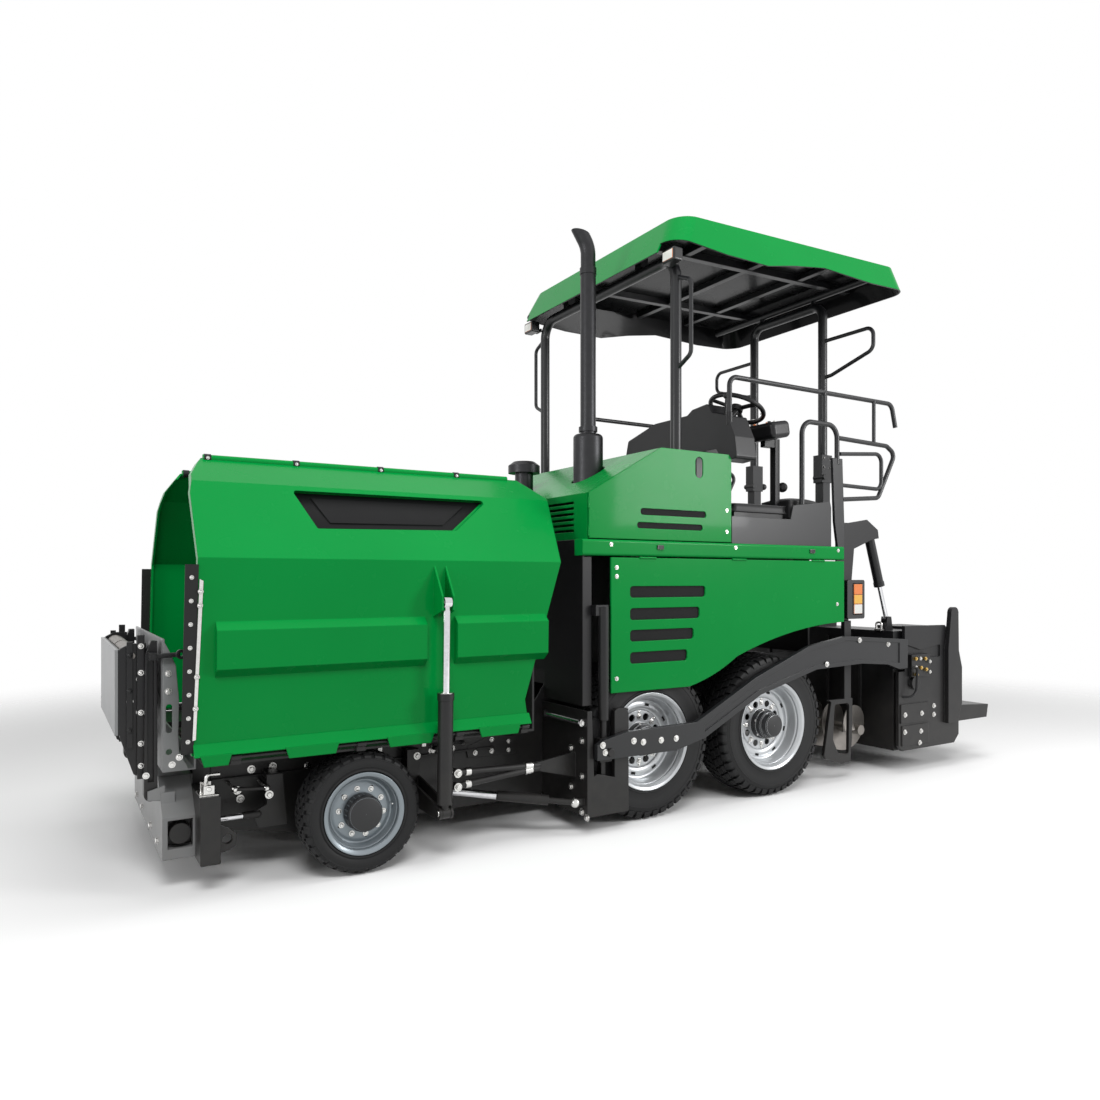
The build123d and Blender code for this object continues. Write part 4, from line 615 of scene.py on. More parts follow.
def make_rear_rim(name, centre, hand):
    """Silver dish with eight holes, nuts between them, and the black hub of the planetary drive."""
    piece = Piece(name, name.replace("rim", "wheel"), chamfer=0.0010)
    out = (0, hand, 0)
    dish = [(0.168, 0.030), (0.176, 0.036), (0.196, 0.041), (0.214, 0.040), (0.222, 0.036), (0.232, 0.040),
            (0.240, 0.060), (0.246, 0.090), (0.252, 0.104), (0.262, 0.108), (0.266, 0.116), (0.270, 0.128),
            (0.278, 0.132), (0.284, 0.1325), (0.2865, 0.136), (0.286, 0.140), (0.281, 0.1405), (0.277, 0.138),
            (0.268, 0.136), (0.262, 0.124), (0.256, 0.116), (0.2555, 0.05), (0.2555, -0.118), (0.268, -0.124),
            (0.284, -0.132), (0.2855, -0.139), (0.277, -0.140), (0.262, -0.130), (0.248, -0.112),
            (0.244, -0.02), (0.230, 0.022), (0.168, 0.016)]
    piece.turned(dish, centre, out, silver_paint, 96, closed=True)
    add_pierced_ring(piece, centre, hand, inner=0.094, outer=0.169, face=0.030, depth=0.013, holes=HOLES,
                     ring=0.134, hole=0.0215, finish=silver_paint)
    hub = [(0.0454, 0.004), (0.097, 0.004), (0.097, 0.062), (0.092, 0.068), (0.088, 0.068), (0.088, 0.098),
           (0.082, 0.104), (0.075, 0.104), (0.075, 0.141), (0.069, 0.147), (0.001, 0.147), (0.001, 0.085),
           (0.0454, 0.085)]
    piece.turned(hub, centre, out, hub_paint, 48, closed=True)
    # radius, level, how many, phase, head radius
    for radius, level, count, phase, size in (
            (0.134, 0.030, HOLES, 0, 0.0125),
            (0.158, 0.030, HOLES, 0, 0.007),
            (0.0925, 0.066, 6, 0.3, 0.006)):
        for place in ring_places(centre, hand, radius, level, count, phase):
            piece.bolt(place, out, zinc, size)
    # narrow slots at the foot of the dish, drawn as thin near-black inserts that paint the shade inside them,
    # and the valve
    slot = [(-0.016, -0.008), (0.016, -0.008), (0.016, 0.008), (-0.016, 0.008)]
    for index in range(HOLES):
        turn = 2 * math.pi * (index + 0.32) / HOLES
        along = Vector((-math.sin(turn), 0, math.cos(turn)))
        up = Vector((math.cos(turn), 0, math.sin(turn)))
        middle = centre + up * 0.205 + Vector((0, hand * 0.041, 0))
        piece.prism([middle + along * a + up * b + Vector((0, hand * level, 0))
                     for level in (-0.004, 0.0008) for a, b in slot], painted_hole_shade)
    valve = centre + Vector((0.226, hand * 0.040, 0.0))
    piece.rod(valve, valve + Vector((0.004, hand * 0.045, 0)), 0.005, zinc, sides=10)
    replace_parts(piece.ride(), name)


def make_front_rim(name, centre, hand):
    """Steered wheel: a shallow dish, ten nuts and a tall black cap."""
    piece = Piece(name, name.replace("rim", "wheel"), chamfer=0.0010)
    out = (0, hand, 0)
    dish = [(0.080, 0.047), (0.128, 0.047), (0.137, 0.044), (0.146, 0.040), (0.153, 0.041), (0.158, 0.050),
            (0.162, 0.066), (0.168, 0.073), (0.172, 0.076), (0.175, 0.090), (0.179, 0.095), (0.187, 0.0965),
            (0.1945, 0.098), (0.1965, 0.101), (0.196, 0.1045), (0.191, 0.1055), (0.187, 0.103),
            (0.178, 0.101), (0.172, 0.096), (0.171, 0.06), (0.175, 0.05), (0.175, -0.083), (0.184, -0.09),
            (0.194, -0.098), (0.195, -0.104), (0.187, -0.105), (0.176, -0.096), (0.165, -0.080),
            (0.163, 0.015), (0.146, 0.030), (0.080, 0.030)]
    piece.turned(dish, centre, out, steel_blue_paint, 96, closed=True)
    hub = [(0.0254, 0.017), (0.082, 0.017), (0.086, 0.030), (0.086, 0.100), (0.0835, 0.106), (0.0835, 0.112),
           (0.078, 0.119), (0.001, 0.119), (0.001, 0.081), (0.0254, 0.081)]
    piece.turned(hub, centre, out, hub_paint, 64, closed=True)
    # ribs round the cap, nuts, and thin near-black discs in the dish that paint the shade of small holes
    for rib in ring_places(centre, hand, 0.0865, 0.052, 24):
        piece.rod(rib, rib + Vector((0, hand * 0.046, 0)), 0.0022, hub_paint, sides=6)
    for place in ring_places(centre, hand, 0.111, 0.047, 10, 0.2):
        piece.bolt(place, out, zinc, 0.0095)
    for place in ring_places(centre, hand, 0.124, 0.047, 5, 0.6):
        piece.rod(place, place + Vector(out) * 0.0008, 0.006, painted_hole_shade, sides=12)
    valve = centre + Vector((-0.148, hand * 0.042, 0.02))
    piece.rod(valve, valve + Vector((0.0, hand * 0.03, 0)), 0.004, zinc, sides=10)
    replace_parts(piece.ride(), name)


# %% Six wheels
hub_paint = paint("hub_paint", (0.012, 0.012, 0.013), 0.46, 0.05)
# near black, for slots and holes that are not cut but drawn as painted shade
painted_hole_shade = paint("painted_hole_shade", (0.003, 0.003, 0.003), 0.80, 0.0)
# axle, X, wheel's middle, tyre radius, half width, rim radius, lugs round it
WHEELS = [("front", 2.020, 0.765, 0.290, 0.105, 0.195, 32), ("mid", 0.295, 0.715, 0.455, 0.140, 0.285, 44),
          ("rear", -0.718, 0.715, 0.455, 0.140, 0.285, 44)]
tyre_faces = 0
for axle, x, y, radius, half, rim, lugs in WHEELS:
    for side, hand in SIDES.items():
        centre = Vector((x, hand * y, radius))
        tyre_faces += make_tyre(f"{axle}_tyre_{side}", centre, radius, half, rim, lugs)
        make_rim = make_front_rim if axle == "front" else make_rear_rim
        make_rim(f"{axle}_rim_{side}", centre, hand)
print("tyres have", tyre_faces, "faces in all")


# %% [markdown]
# ## Trim of the hopper wings
# A wing is one folded sheet. `on_wing` finds the point of its outer face at a given place along the machine
# and height, so that bolts, straps and strips lie on the slanting sheet without trial and error.

# %% Wings
# Y and Z of the folded sheet's middle, from its hinge up to the tube along its upper edge
WING_LINE = [(0.860, 0.645), (0.882, 1.495), (0.580, 1.855), (0.350, 1.990)]
SHEET_HALF = 0.003
WING_TUBE = Vector((0.0, 0.350, 1.994))
CLAMP_RADIUS = 0.0215
RECESS_DEPTH = 0.027


def wing_panel(height):
    """Start, end and outward normal of the panel that reaches this height."""
    (y0, z0), (y1, z1) = next(fold for fold in zip(WING_LINE, WING_LINE[1:]) if height <= fold[1][1])
    return (y0, z0), (y1, z1), Vector((0, z1 - z0, y0 - y1)).normalized()


def on_wing(x, z, out=0.0):
    """The point at this X and Z that stands `out` metres outside the sheet's outer face."""
    (y0, z0), (y1, z1), normal = wing_panel(z)
    return Vector((x, y0 + (y1 - y0) * (z - z0) / (z1 - z0) + (SHEET_HALF + out) / normal.y, z))


def wing_patch(piece, outline, low, high, finish):
    """A thin plate that lies on the wing's outer face, from its outline in X and Z."""
    piece.prism([on_wing(x, z, out) for out in (low, high) for x, z in outline], finish)


trim = Piece("wing_trim", "wing")
# the recess's dark liner, and the field raised on it
wing_patch(trim, [(2.284, 1.824), (2.208, 1.645), (1.498, 1.658), (1.262, 1.824)],
           -RECESS_DEPTH, 0.002 - RECESS_DEPTH, liner_paint)
wing_patch(trim, [(2.205, 1.800), (2.140, 1.674), (1.545, 1.684), (1.380, 1.800)],
           0.002 - RECESS_DEPTH, 0.008 - RECESS_DEPTH, liner_paint)
# clamps on the tube along the wing's upper edge
for x in (2.639, 2.212, 1.760, 1.310):
    trim.sleeve(WING_TUBE + Vector((x, 0, 0)), AHEAD, -0.016, 0.016, 0.0178, CLAMP_RADIUS, frame_paint)
    trim.bolt(WING_TUBE + Vector((x, CLAMP_RADIUS, 0)), OUT, zinc, 0.006)
# rubber strip that seals the front edge, a flat bar beside it, and their bolts
wing_patch(trim, [(2.776, 0.660), (2.826, 0.656), (2.812, 1.466), (2.758, 1.466)], 0.0, 0.006, strip_rubber)
wing_patch(trim, [(2.768, 0.716), (2.782, 0.712), (2.756, 1.404), (2.740, 1.396)], 0.006, 0.011, zinc)
for k in range(8):
    z = 0.71 + 0.100 * k
    trim.bolt(on_wing(2.800 - 0.018 * (z - 0.66), z, 0.006), wing_panel(z)[2], zinc, 0.0065)
for z in (1.350, 1.290, 0.985, 0.850):
    trim.bolt(on_wing(2.775 - 0.037 * (z - 0.716), z, 0.011), wing_panel(z)[2], zinc, 0.008)
trim.ride_twins()


# %% [markdown]
# ## Bolts where the machine is bolted
# Each row below lists one group: where it sits, which way its heads face, and how large they are. They are
# grouped by the body that carries them, so that they travel with it.

# %% Bolts
def seat_on(names, place, direction, reach=0.20):
    """The outermost point of these parts at this place, looking from outside against the direction."""
    way = Vector(direction)
    start = Vector(place) + way * reach
    best = None
    for name in names:
        part = nodes[name]
        turned_back = part.matrix_world.inverted()
        hit, spot, _, _ = part.ray_cast(turned_back @ start, turned_back.to_3x3() @ -way, distance=2 * reach)
        if hit:
            spot = part.matrix_world @ spot
            if best is None or (start - spot).length < (start - best).length:
                best = spot
    return best


def bolt_group(name, body, parts, direction, size, places, twins):
    """A group of bolts, each seated on the construction part beneath it; those that miss are reported."""
    piece = Piece(name, body, chamfer=0)
    missed = []
    for place in places:
        spot = seat_on(parts, place, direction)
        if spot is None:
            missed.append(place)
        else:
            piece.bolt(spot, direction, zinc, size)
    if missed:
        print(name, "finds nothing under", missed)
    if twins:
        piece.ride_twins()
    else:
        piece.ride(both_sides=True)


# name, body, parts it may sit on, direction, head radius, twins, places
BOLT_GROUPS = [
    ("tow_bolts", "chassis", ["tow_brackets"], AHEAD, 0.014, False,
     [(0.787, 0.873, 0.512), (0.787, 0.873, 0.316), (0.787, 0.824, 0.163), (0.787, 0.873, 0.120),
      (0.787, 0.763, 0.455), (0.787, 0.763, 0.327), (0.787, 0.763, 0.238), (0.787, 0.923, 0.099)]),
    ("arm_bolts", "screed", ["tow_arms", "main_screed"], OUT, 0.0125, False,
     [(0.710, 0.9, 0.494), (0.693, 0.9, 0.453), (0.498, 0.9, 0.497), (0.431, 0.9, 0.484), (0.302, 0.9, 0.482),
      (0.191, 0.9, 0.481), (-1.427, 0.9, 0.989), (-1.740, 0.9, 0.949), (-1.098, 0.9, 0.842),
      (-2.070, 0.9, 0.654)]),
    ("screed_bolts", "extension", ["screed_extension_left"], OUT, 0.0125, True,
     [(-1.958, 0.9, 0.430), (-2.151, 0.9, 0.427), (-1.958, 0.9, 0.306),
      (-2.144, 0.9, 0.297), (-2.130, 0.9, 0.214), (-2.309, 0.9, 0.468), (-2.309, 0.9, 0.404)]),
    ("door_bolts", "side_door", ["side_door_left"], OUT, 0.0085, True,
     [(0.562, 0.85, 0.842), (0.562, 0.85, 1.470), (0.562, 0.85, 1.420), (-1.290, 0.85, 1.235)]),
    ("cheek_bolts", "hood_door", ["hood_door_left"], OUT, 0.0075, True,
     [(-0.314, 0.84, 1.832), (-0.314, 0.84, 1.700)]),
    ("frame_bolts", "chassis", ["main_frame", "cross_members", "body_frame"], OUT, 0.013, False,
     [(2.453, 0.47, 0.472), (2.351, 0.47, 0.475), (2.182, 0.47, 0.458), (2.403, 0.47, 0.375),
      (2.517, 0.47, 0.375), (2.318, 0.47, 0.318), (2.503, 0.47, 0.333), (1.62, 0.47, 0.46),
      (1.50, 0.47, 0.46), (1.38, 0.47, 0.46)]),
    ("apron_bolts", "chassis", ["front_apron"], OUT, 0.010, False,
     [(2.845, 0.60, 0.98), (2.845, 0.60, 0.90), (2.800, 0.60, 0.60), (2.830, 0.60, 0.57)]),
    ("beam_bolts", "chassis", ["push_beam"], AHEAD, 0.013, False,
     [(2.85, 0.40, 0.42), (2.85, 0.30, 0.42), (2.85, 0.48, 0.20), (2.85, 0.20, 0.20)]),
    ("rail_bolts", "chassis", ["side_rails"], OUT, 0.008, False,
     [(0.60, 0.88, 1.60), (-1.30, 0.88, 1.60), (-0.35, 0.88, 1.60)]),
    ("folding_bolts", "folding_frame", ["folding_frame"], OUT, 0.010, False,
     [(2.95, 0.60, 0.80), (2.95, 0.60, 0.95), (2.99, 0.60, 0.85), (2.93, 0.60, 0.52)]),
]
for name, body, parts, direction, size, twins, places in BOLT_GROUPS:
    bolt_group(name, body, parts, direction, size, places, twins)


# %% [markdown]
# ## Fittings of the chassis
# Between the front wheel and the tow bracket the chassis carries a link, sleeves, a stiffener plate and a
# short hose. Each is pinned, bolted or screwed into the frame, so nothing hangs in the air.

# %% Chassis fittings
FRAME_SIDE = 0.443      # Y just inside the outer face of the frame's side plate
fit = Piece("chassis_fittings", "chassis")
# a link with a ball joint at each end; its pins reach back into the frame's side plate
link_ends = [Vector((2.563, 0.620, 0.424)), Vector((2.418, 0.620, 0.412))]
fit.rod(*link_ends, 0.010, frame_paint)
for spot in link_ends:
    fit.ball(spot, 0.016, zinc)
    fit.rod((spot.x, FRAME_SIDE, spot.z), (spot.x, spot.y + 0.018, spot.z), 0.008, zinc, sides=12)
# sleeves on the stay that runs from the hanger plate to the bumper
for radius, start, end, finish in ((0.0180, 2.445, 2.522, frame_paint), (0.0125, 2.522, 2.646, chrome)):
    fit.sleeve((0, 0.600, 0.290), AHEAD, start, end, 0.0105, radius, finish)
# stiffener plate under the hopper and its bolts
outline = [(1.290, 0.439), (1.279, 0.464), (1.133, 0.513), (0.982, 0.492), (0.957, 0.390), (1.279, 0.395)]
base = seat_on(["main_frame", "cross_members", "body_frame"], (1.12, 0.60, 0.45), OUT).y
print("the frame's side under the stiffener plate is at Y", round(base, 3))
fit.plate(outline, base - 0.004, base + 0.010, frame_paint)
for x, z in ((1.020, 0.465), (1.020, 0.415), (1.235, 0.420), (1.130, 0.485), (1.130, 0.420)):
    fit.bolt((x, base + 0.010, z), OUT, zinc, 0.010)
# the hose starts and ends in the frame's side, ahead of the plate
first, last = (1.500, base - 0.002, 0.480), (1.300, base - 0.002, 0.480)
fit.pipe([first, (1.500, base + 0.045, 0.480), (1.425, base + 0.055, 0.505), (1.345, base + 0.045, 0.505),
          last], 0.011, hose_rubber, bend=0.03)
for start, end in ((first, (1.500, base + 0.028, 0.480)), (last, (1.318, base + 0.018, 0.489))):
    fit.rod(start, end, 0.014, zinc, sides=12)
# clips for cables along the frame's side
for x in (2.05, 1.80, 1.55):
    y = seat_on(["main_frame", "cross_members"], (x, 0.47, 0.50), OUT).y
    fit.block((x - 0.012, y - 0.002, 0.490), (x + 0.012, y + 0.012, 0.520), zinc)
fit.ride(both_sides=True)


# %% [markdown]
# ## Tow bracket
# The arm's front end slides up and down in the bracket to set the layer's thickness. The cross shaft of the
# bracket carries a bright sleeve, and a bolt closes its outer end.

# %% Tow bracket fittings
SHAFT_X, SHAFT_Z = 0.799, 0.614
tow = Piece("tow_fittings", "chassis")
tow.sleeve((SHAFT_X, 0, SHAFT_Z), OUT, 0.512, 0.877, 0.0125, 0.0152, chrome)
tow.bolt((SHAFT_X, 0.895, SHAFT_Z), OUT, zinc, 0.014)
tow.ride(both_sides=True)


# %% [markdown]
# ## Lamps and louvre backs
# The tail lamp shows three lenses, one above the other, ribbed on the inside; all lenses carry a faint
# painted glow.
# Behind the louvres of each door stands a near-black screen with a fine checker like a mesh: painted shade,
# so that the slots read as dark as the engine bay behind them.

# %% Lenses, and the painted shade behind the slots
def lens(name, colour, glow):
    """Coloured plastic with fine vertical ribs under a glossy skin, and a painted glow: its colour also
    shines as emission of strength `glow`.
    """
    finish = Finish(name)
    ribs = finish.add("ShaderNodeTexWave", {"wave_type": "BANDS", "bands_direction": "X"},
                      {"Vector": finish.place, "Scale": 60.0}, out="Fac")
    shade = finish.blend(ribs, (*[0.55 * c for c in colour], 1), (*colour, 1))
    return finish.close(Base_Color=shade, Roughness=0.12, Coat_Weight=0.8, Emission_Color=shade,
                        Emission_Strength=glow, Normal=finish.bumps(ribs, 0.0008, 0.4))


# each lens and everything made of it shines with a faint painted glow
orange_lens = lens("orange_lens", (0.80, 0.19, 0.01), 0.25)
clear_lens = lens("clear_lens", (0.80, 0.80, 0.76), 0.20)
yellow_lens = lens("yellow_lens", (0.85, 0.45, 0.03), 0.20)
lights = Piece("lamp_lenses", "chassis", chamfer=0.002)
for bottom, top, glass in ((1.300, 1.370, orange_lens), (1.234, 1.297, yellow_lens),
                           (1.165, 1.231, clear_lens)):
    lights.block((-1.553, 0.880, bottom), (-1.467, 0.8875, top), glass)
work_lamp_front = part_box("lamps")[1].x
lights.block((work_lamp_front - 0.002, 0.786, 3.308), (work_lamp_front + 0.002, 0.878, 3.364), clear_lens)
lights.ride(both_sides=True)

# a near-black checkered screen: painted shade behind the louvre slots
shade_screen_finish = Finish("slot_shade_screen")
wires = shade_screen_finish.add("ShaderNodeTexChecker", None, {"Vector": shade_screen_finish.place, "Scale": 260.0}, out="Fac")
slot_shade_screen = shade_screen_finish.close(Base_Color=shade_screen_finish.blend(wires, (0.002, 0.002, 0.002, 1), (0.016, 0.016, 0.017, 1)),
                        Roughness=0.7, Specular_IOR_Level=0.2, Normal=shade_screen_finish.bumps(wires, 0.0006, 0.6))
# piece, door, X and Z of its limits, and how far its two faces are from the door's inner side
for name, door, start, end, bottom, top, near, far in (
        ("louvre_shade_screen", "side_door", -0.14, 0.50, 0.86, 1.395, 0.0005, 0.0025),
        ("cheek_shade_screen", "hood_door", -0.17, 0.40, 1.685, 1.835, 0.0004, 0.0020)):
    door_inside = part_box(f"{door}_left")[0].y
    print(name, "lies at Y", round(door_inside, 3))
    screen = Piece(name, door, chamfer=0)
    screen.block((start, door_inside + near, bottom), (end, door_inside + far, top), slot_shade_screen)
    screen.ride_twins()


# %% [markdown]
# ## Screed fittings
# A valve block with gold and silver fittings and one short hose sits on the screed's end plate, and a lifting
# shackle stands on the screed.

# %% Screed fittings
valves = Piece("extension_fittings", "extension")
face = seat_on(["screed_extension_left"], (-1.960, 0.95, 0.600), OUT).y
print("the extension's end plate is at Y", round(face, 3))
block_face, cap_face = face + 0.028, face + 0.044
valves.block((-2.225, face - 0.014, 0.700), (-2.010, block_face, 0.860), frame_paint)
for finish, spots in (
        (brass, [(-2.04, 0.832), (-2.15, 0.828), (-2.10, 0.765), (-2.16, 0.750), (-2.05, 0.718)]),
        (zinc, [(-2.09, 0.832), (-2.20, 0.805), (-2.04, 0.770), (-2.20, 0.730)])):
    for x, z in spots:
        valves.rod((x, block_face - 0.002, z), (x, cap_face, z), 0.013, finish, sides=12)
        valves.bolt((x, cap_face, z), OUT, finish, 0.009)
valves.pipe([(-2.04, cap_face, 0.770), (-2.04, face + 0.052, 0.765), (-2.03, face + 0.052, 0.60),
             (-1.985, face + 0.045, 0.56), (-1.945, face - 0.002, 0.56)], 0.009, hose_rubber, bend=0.03)
valves.ride_twins()

shackle = Piece("screed_fittings", "screed")
x = -1.900
z = seat_on(["main_screed", "tow_arms"], (x, 0.760, 1.150), UP, 0.35).z
print("the shackle stands at Z", round(z, 3))
shackle.block((x - 0.015, 0.730, z - 0.002), (x + 0.015, 0.790, z + 0.012), zinc)
shackle.pipe([(x, 0.740, z + 0.004), (x, 0.735, z + 0.060), (x, 0.785, z + 0.060), (x, 0.780, z + 0.004)],
             0.008, zinc, bend=0.03)
shackle.ride(both_sides=True)


# %% [markdown]
# ## Bumper
# A silver towing clamp with a pin and a bent handle stands on each bumper block.

# %% Bumper fittings
front = Piece("front_fittings", "chassis")
z = seat_on(["bumper_blocks"], (2.690, 0.700, 0.70), UP, 0.40).z
print("the bumper block's top is at Z", round(z, 3))
front.block((2.655, 0.640, z - 0.001), (2.735, 0.760, z + 0.008), zinc)
for y in (0.655, 0.745):
    front.block((2.672, y - 0.008, z + 0.008), (2.718, y + 0.008, z + 0.048), zinc)
front.rod((2.695, 0.640, z + 0.032), (2.695, 0.760, z + 0.032), 0.010, zinc)
front.pipe([(2.700, 0.700, z + 0.030), (2.700, 0.700, z + 0.085), (2.640, 0.700, z + 0.085)], 0.008, zinc,
           bend=0.02)
front.ride(both_sides=True)


# %% [markdown]
# ## Folding frame
# Folded up, the push-roller frame shows its stiffening profiles, their bolts and the latch rod that holds it.

# %% Folding frame profiles
folded = Piece("folding_profiles", "folding_frame")
y = seat_on(["folding_frame"], (2.96, 0.60, 0.95), OUT).y
print("the folding frame's cheek is at Y", round(y, 3))
# X, Z and height of each profile's limits, its bolts' heights and their finish
for start, end, bottom, top, high, heights, finish in (
        (2.932, 2.962, 0.500, 1.150, 0.022, (0.56, 0.66, 0.80, 0.98, 1.10), zinc),
        (2.978, 3.004, 0.640, 1.120, 0.016, (0.72, 0.90, 1.06), frame_paint)):
    folded.block((start, y - 0.001, bottom), (end, y + high, top), frame_paint)
    for z in heights:
        folded.bolt(((start + end) / 2, y + high, z), OUT, finish, 0.009)
# the latch rod and its eye sit on a spacer, outside the hopper's apron
folded.block((2.895, 0.558, 1.045), (2.925, 0.655, 1.075), frame_paint)
folded.rod((2.910, 0.645, 1.060), (2.800, 0.645, 1.066), 0.011, frame_paint)
folded.sleeve((2.796, 0.645, 1.066), OUT, -0.012, 0.012, 0.008, 0.022, frame_paint, 20)
folded.ride(both_sides=True)


# %% [markdown]
# ## Seats
# The driver's seats are moulded foam under black vinyl. Each cushion is a crowned form whose sides pull in
# between its corners, with a sewn seam round its top. It is flat only where it rests on its pan.

# %% Seats
CROWN = 0.30            # share of a cushion's half height by which its edge lies lower than its middle
DRAWN_IN = 0.045        # share by which the middle of each side is pulled in between the corners
WAIST = 0.035           # the same, half-way up the sides
SEAM_AT = 0.80          # where the sewn seam runs, as a share of the way from the middle to the edge
SEAM_WIDTH = 0.045
SEAM_DEPTH = 0.05


def drawn_in(here, across):
    """How far a corner keeps its distance from the middle line: the rim's middle is pulled in."""
    share = 1 if abs(here) > 0.98 else abs(here) ** 6
    return 1 - DRAWN_IN * (1 - across * across) * share


def cushion(name, low, high):
    """A crowned cushion between two corners, flat underneath."""
    low, high = Vector(low), Vector(high)
    middle, half = (low + high) / 2, (high - low) / 2
    shaper = bmesh.new()
    bmesh.ops.create_cube(shaper, size=2.0)
    bmesh.ops.subdivide_edges(shaper, edges=shaper.edges[:], cuts=14, use_grid_fill=True)
    for corner in shaper.verts:
        u, v, w = corner.co
        puff = (1 - u ** 4) * (1 - v ** 4)
        waist = 1 - WAIST * (1 - w * w)
        lift = w if w < 0 else w * (1 - CROWN + CROWN * puff)
        from_seam = (max(abs(u), abs(v)) - SEAM_AT) / SEAM_WIDTH
        groove = SEAM_DEPTH * math.exp(-from_seam ** 2) if w > 0.9 else 0.0
        corner.co = middle + Vector((half.x * u * drawn_in(u, v) * waist, half.y * v * drawn_in(v, u) * waist,
                                     half.z * (lift - groove)))
    above_pan = [corner for corner in shaper.verts if corner.co.z > low.z + 0.002]
    bmesh.ops.smooth_vert(shaper, verts=above_pan, factor=0.5,
                          use_axis_x=True, use_axis_y=True, use_axis_z=True)
    for side in shaper.faces:
        side.smooth = True
    piece = put_in_scene(name, shaper, [seat_vinyl])
    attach(piece, "chassis")


BENCH_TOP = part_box("seats")[0].z
pans = Piece("seat_pans", "chassis")
pans.block((-0.860, 0.540, BENCH_TOP), (-0.420, 0.800, BENCH_TOP + 0.036), frame_paint)
pans.block((-1.190, 0.545, BENCH_TOP), (-0.955, 0.775, BENCH_TOP + 0.012), frame_paint)
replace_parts(pans.ride(both_sides=True), "seats")
for side, sign in SIDES.items():
    for name, x0, x1, y0, y1, z0, z1 in (("seat_cushion", -0.876, -0.400, 0.520, 0.820, 0.036, 0.096),
                                         ("seat_box_pad", -1.215, -0.934, 0.530, 0.790, 0.012, 0.158)):
        near, far = sorted((sign * y0, sign * y1))
        cushion(f"{name}_{side}", (x0, near, BENCH_TOP + z0), (x1, far, BENCH_TOP + z1))


# %% [markdown]
# ## Bright ends of rods and cylinders
# Rods and cylinders are painted with the frame, but their ends are plated: collars where they are screwed
# in, nuts on their pins, and the hard-chromed part that slides.

# %% Rod ends
STAY_Y = 0.800
POST_Y = 0.357
CYLINDER_FOOT = Vector((1.640, 0.935, 0.255))
CYLINDER_WAY = (0, 0.025, 1.035)
ends = Piece("rod_ends", "chassis", chamfer=0.0008)
# nuts and collars on the two stays that close on each other towards the rear
for start_z, end_z in ((0.411, 0.392), (0.341, 0.378)):
    ends.bolt((1.516, STAY_Y + 0.026, start_z), OUT, zinc, 0.015)
    start, end = Vector((1.510, STAY_Y, start_z)), Vector((1.020, STAY_Y, end_z))
    way = (end - start).normalized()
    for along, length in ((0.045, 0.030), (0.400, 0.045)):
        ends.sleeve(start + way * along, way, 0, length, 0.0168, 0.0215, zinc, 20)
# the bright part and the ball of the low rod
start, end = Vector((1.470, 0.570, 0.262)), Vector((0.842, 0.887, 0.182))
ends.sleeve(start, end - start, 0.040, 0.275, 0.0205, 0.0222, chrome)
ends.ball(end, 0.0275, zinc)
# bolts and knob of the hinge plates half-way up the rear posts
for x, z in ((-1.805, 2.325), (-1.735, 2.325), (-1.805, 2.255), (-1.735, 2.255)):
    ends.bolt(seat_on(["canopy_posts"], (x, POST_Y, z), OUT), OUT, frame_paint, 0.010)
ends.rod((-1.820, POST_Y, 2.185), (-1.862, POST_Y, 2.185), 0.010, frame_paint, sides=12)
ends.ball((-1.876, POST_Y, 2.185), 0.027, hub_paint)
# latches on the rails
for x in (-1.040, 0.250):
    y = seat_on(["side_rails"], (x, 0.88, 1.590), OUT).y
    ends.block((x - 0.022, y - 0.001, 1.578), (x + 0.022, y + 0.010, 1.602), frame_paint)
ends.ride(both_sides=True)

# the nut on the cylinder's lower pin, and the ring that closes its barrel
pin_nut = Piece("wing_barrel_nut", "wing_barrel", chamfer=0.0008)
pin_nut.bolt(CYLINDER_FOOT + Vector((0.022, 0, 0)), AHEAD, zinc, 0.017)
pin_nut.sleeve(CYLINDER_FOOT, CYLINDER_WAY, 0.5885, 0.5935, 0.0205, 0.0365, zinc, 32)
pin_nut.ride_twins()
eye_nut = Piece("wing_rod_nut", "wing_rod", chamfer=0.0008)
eye_nut.bolt((1.659, 0.960, 1.290), AHEAD, zinc, 0.012)
eye_nut.ride_twins()


# %% [markdown]
# ## Controls
# The driver sees a row of switches and two round dials on the console, whose top carries push buttons and a
# lever. The dials are blank discs behind a bezel.

# %% Controls
CONSOLE_FACE = -0.530   # X of the console's upright side, which looks to the driver
panel = Piece("controls", "chassis", chamfer=0.0006)
# the dials' glass takes the clear lens finish, and so a painted glow
for y in (0.120, 0.230):
    middle = (CONSOLE_FACE, y, 2.410)
    bezel = [(0.036, -0.001), (0.036, 0.010), (0.030, 0.010), (0.030, 0.005)]
    panel.turned(bezel, middle, BEHIND, hub_paint, 32)
    panel.turned([(0.0295, 0.004), (0.0295, 0.0055)], middle, BEHIND, clear_lens, 32)
for k in range(6):
    y = 0.310 + 0.036 * k
    near, far = CONSOLE_FACE - 0.006, CONSOLE_FACE + 0.0005
    panel.block((near, y - 0.011, 2.398), (far, y + 0.011, 2.424), hub_paint)
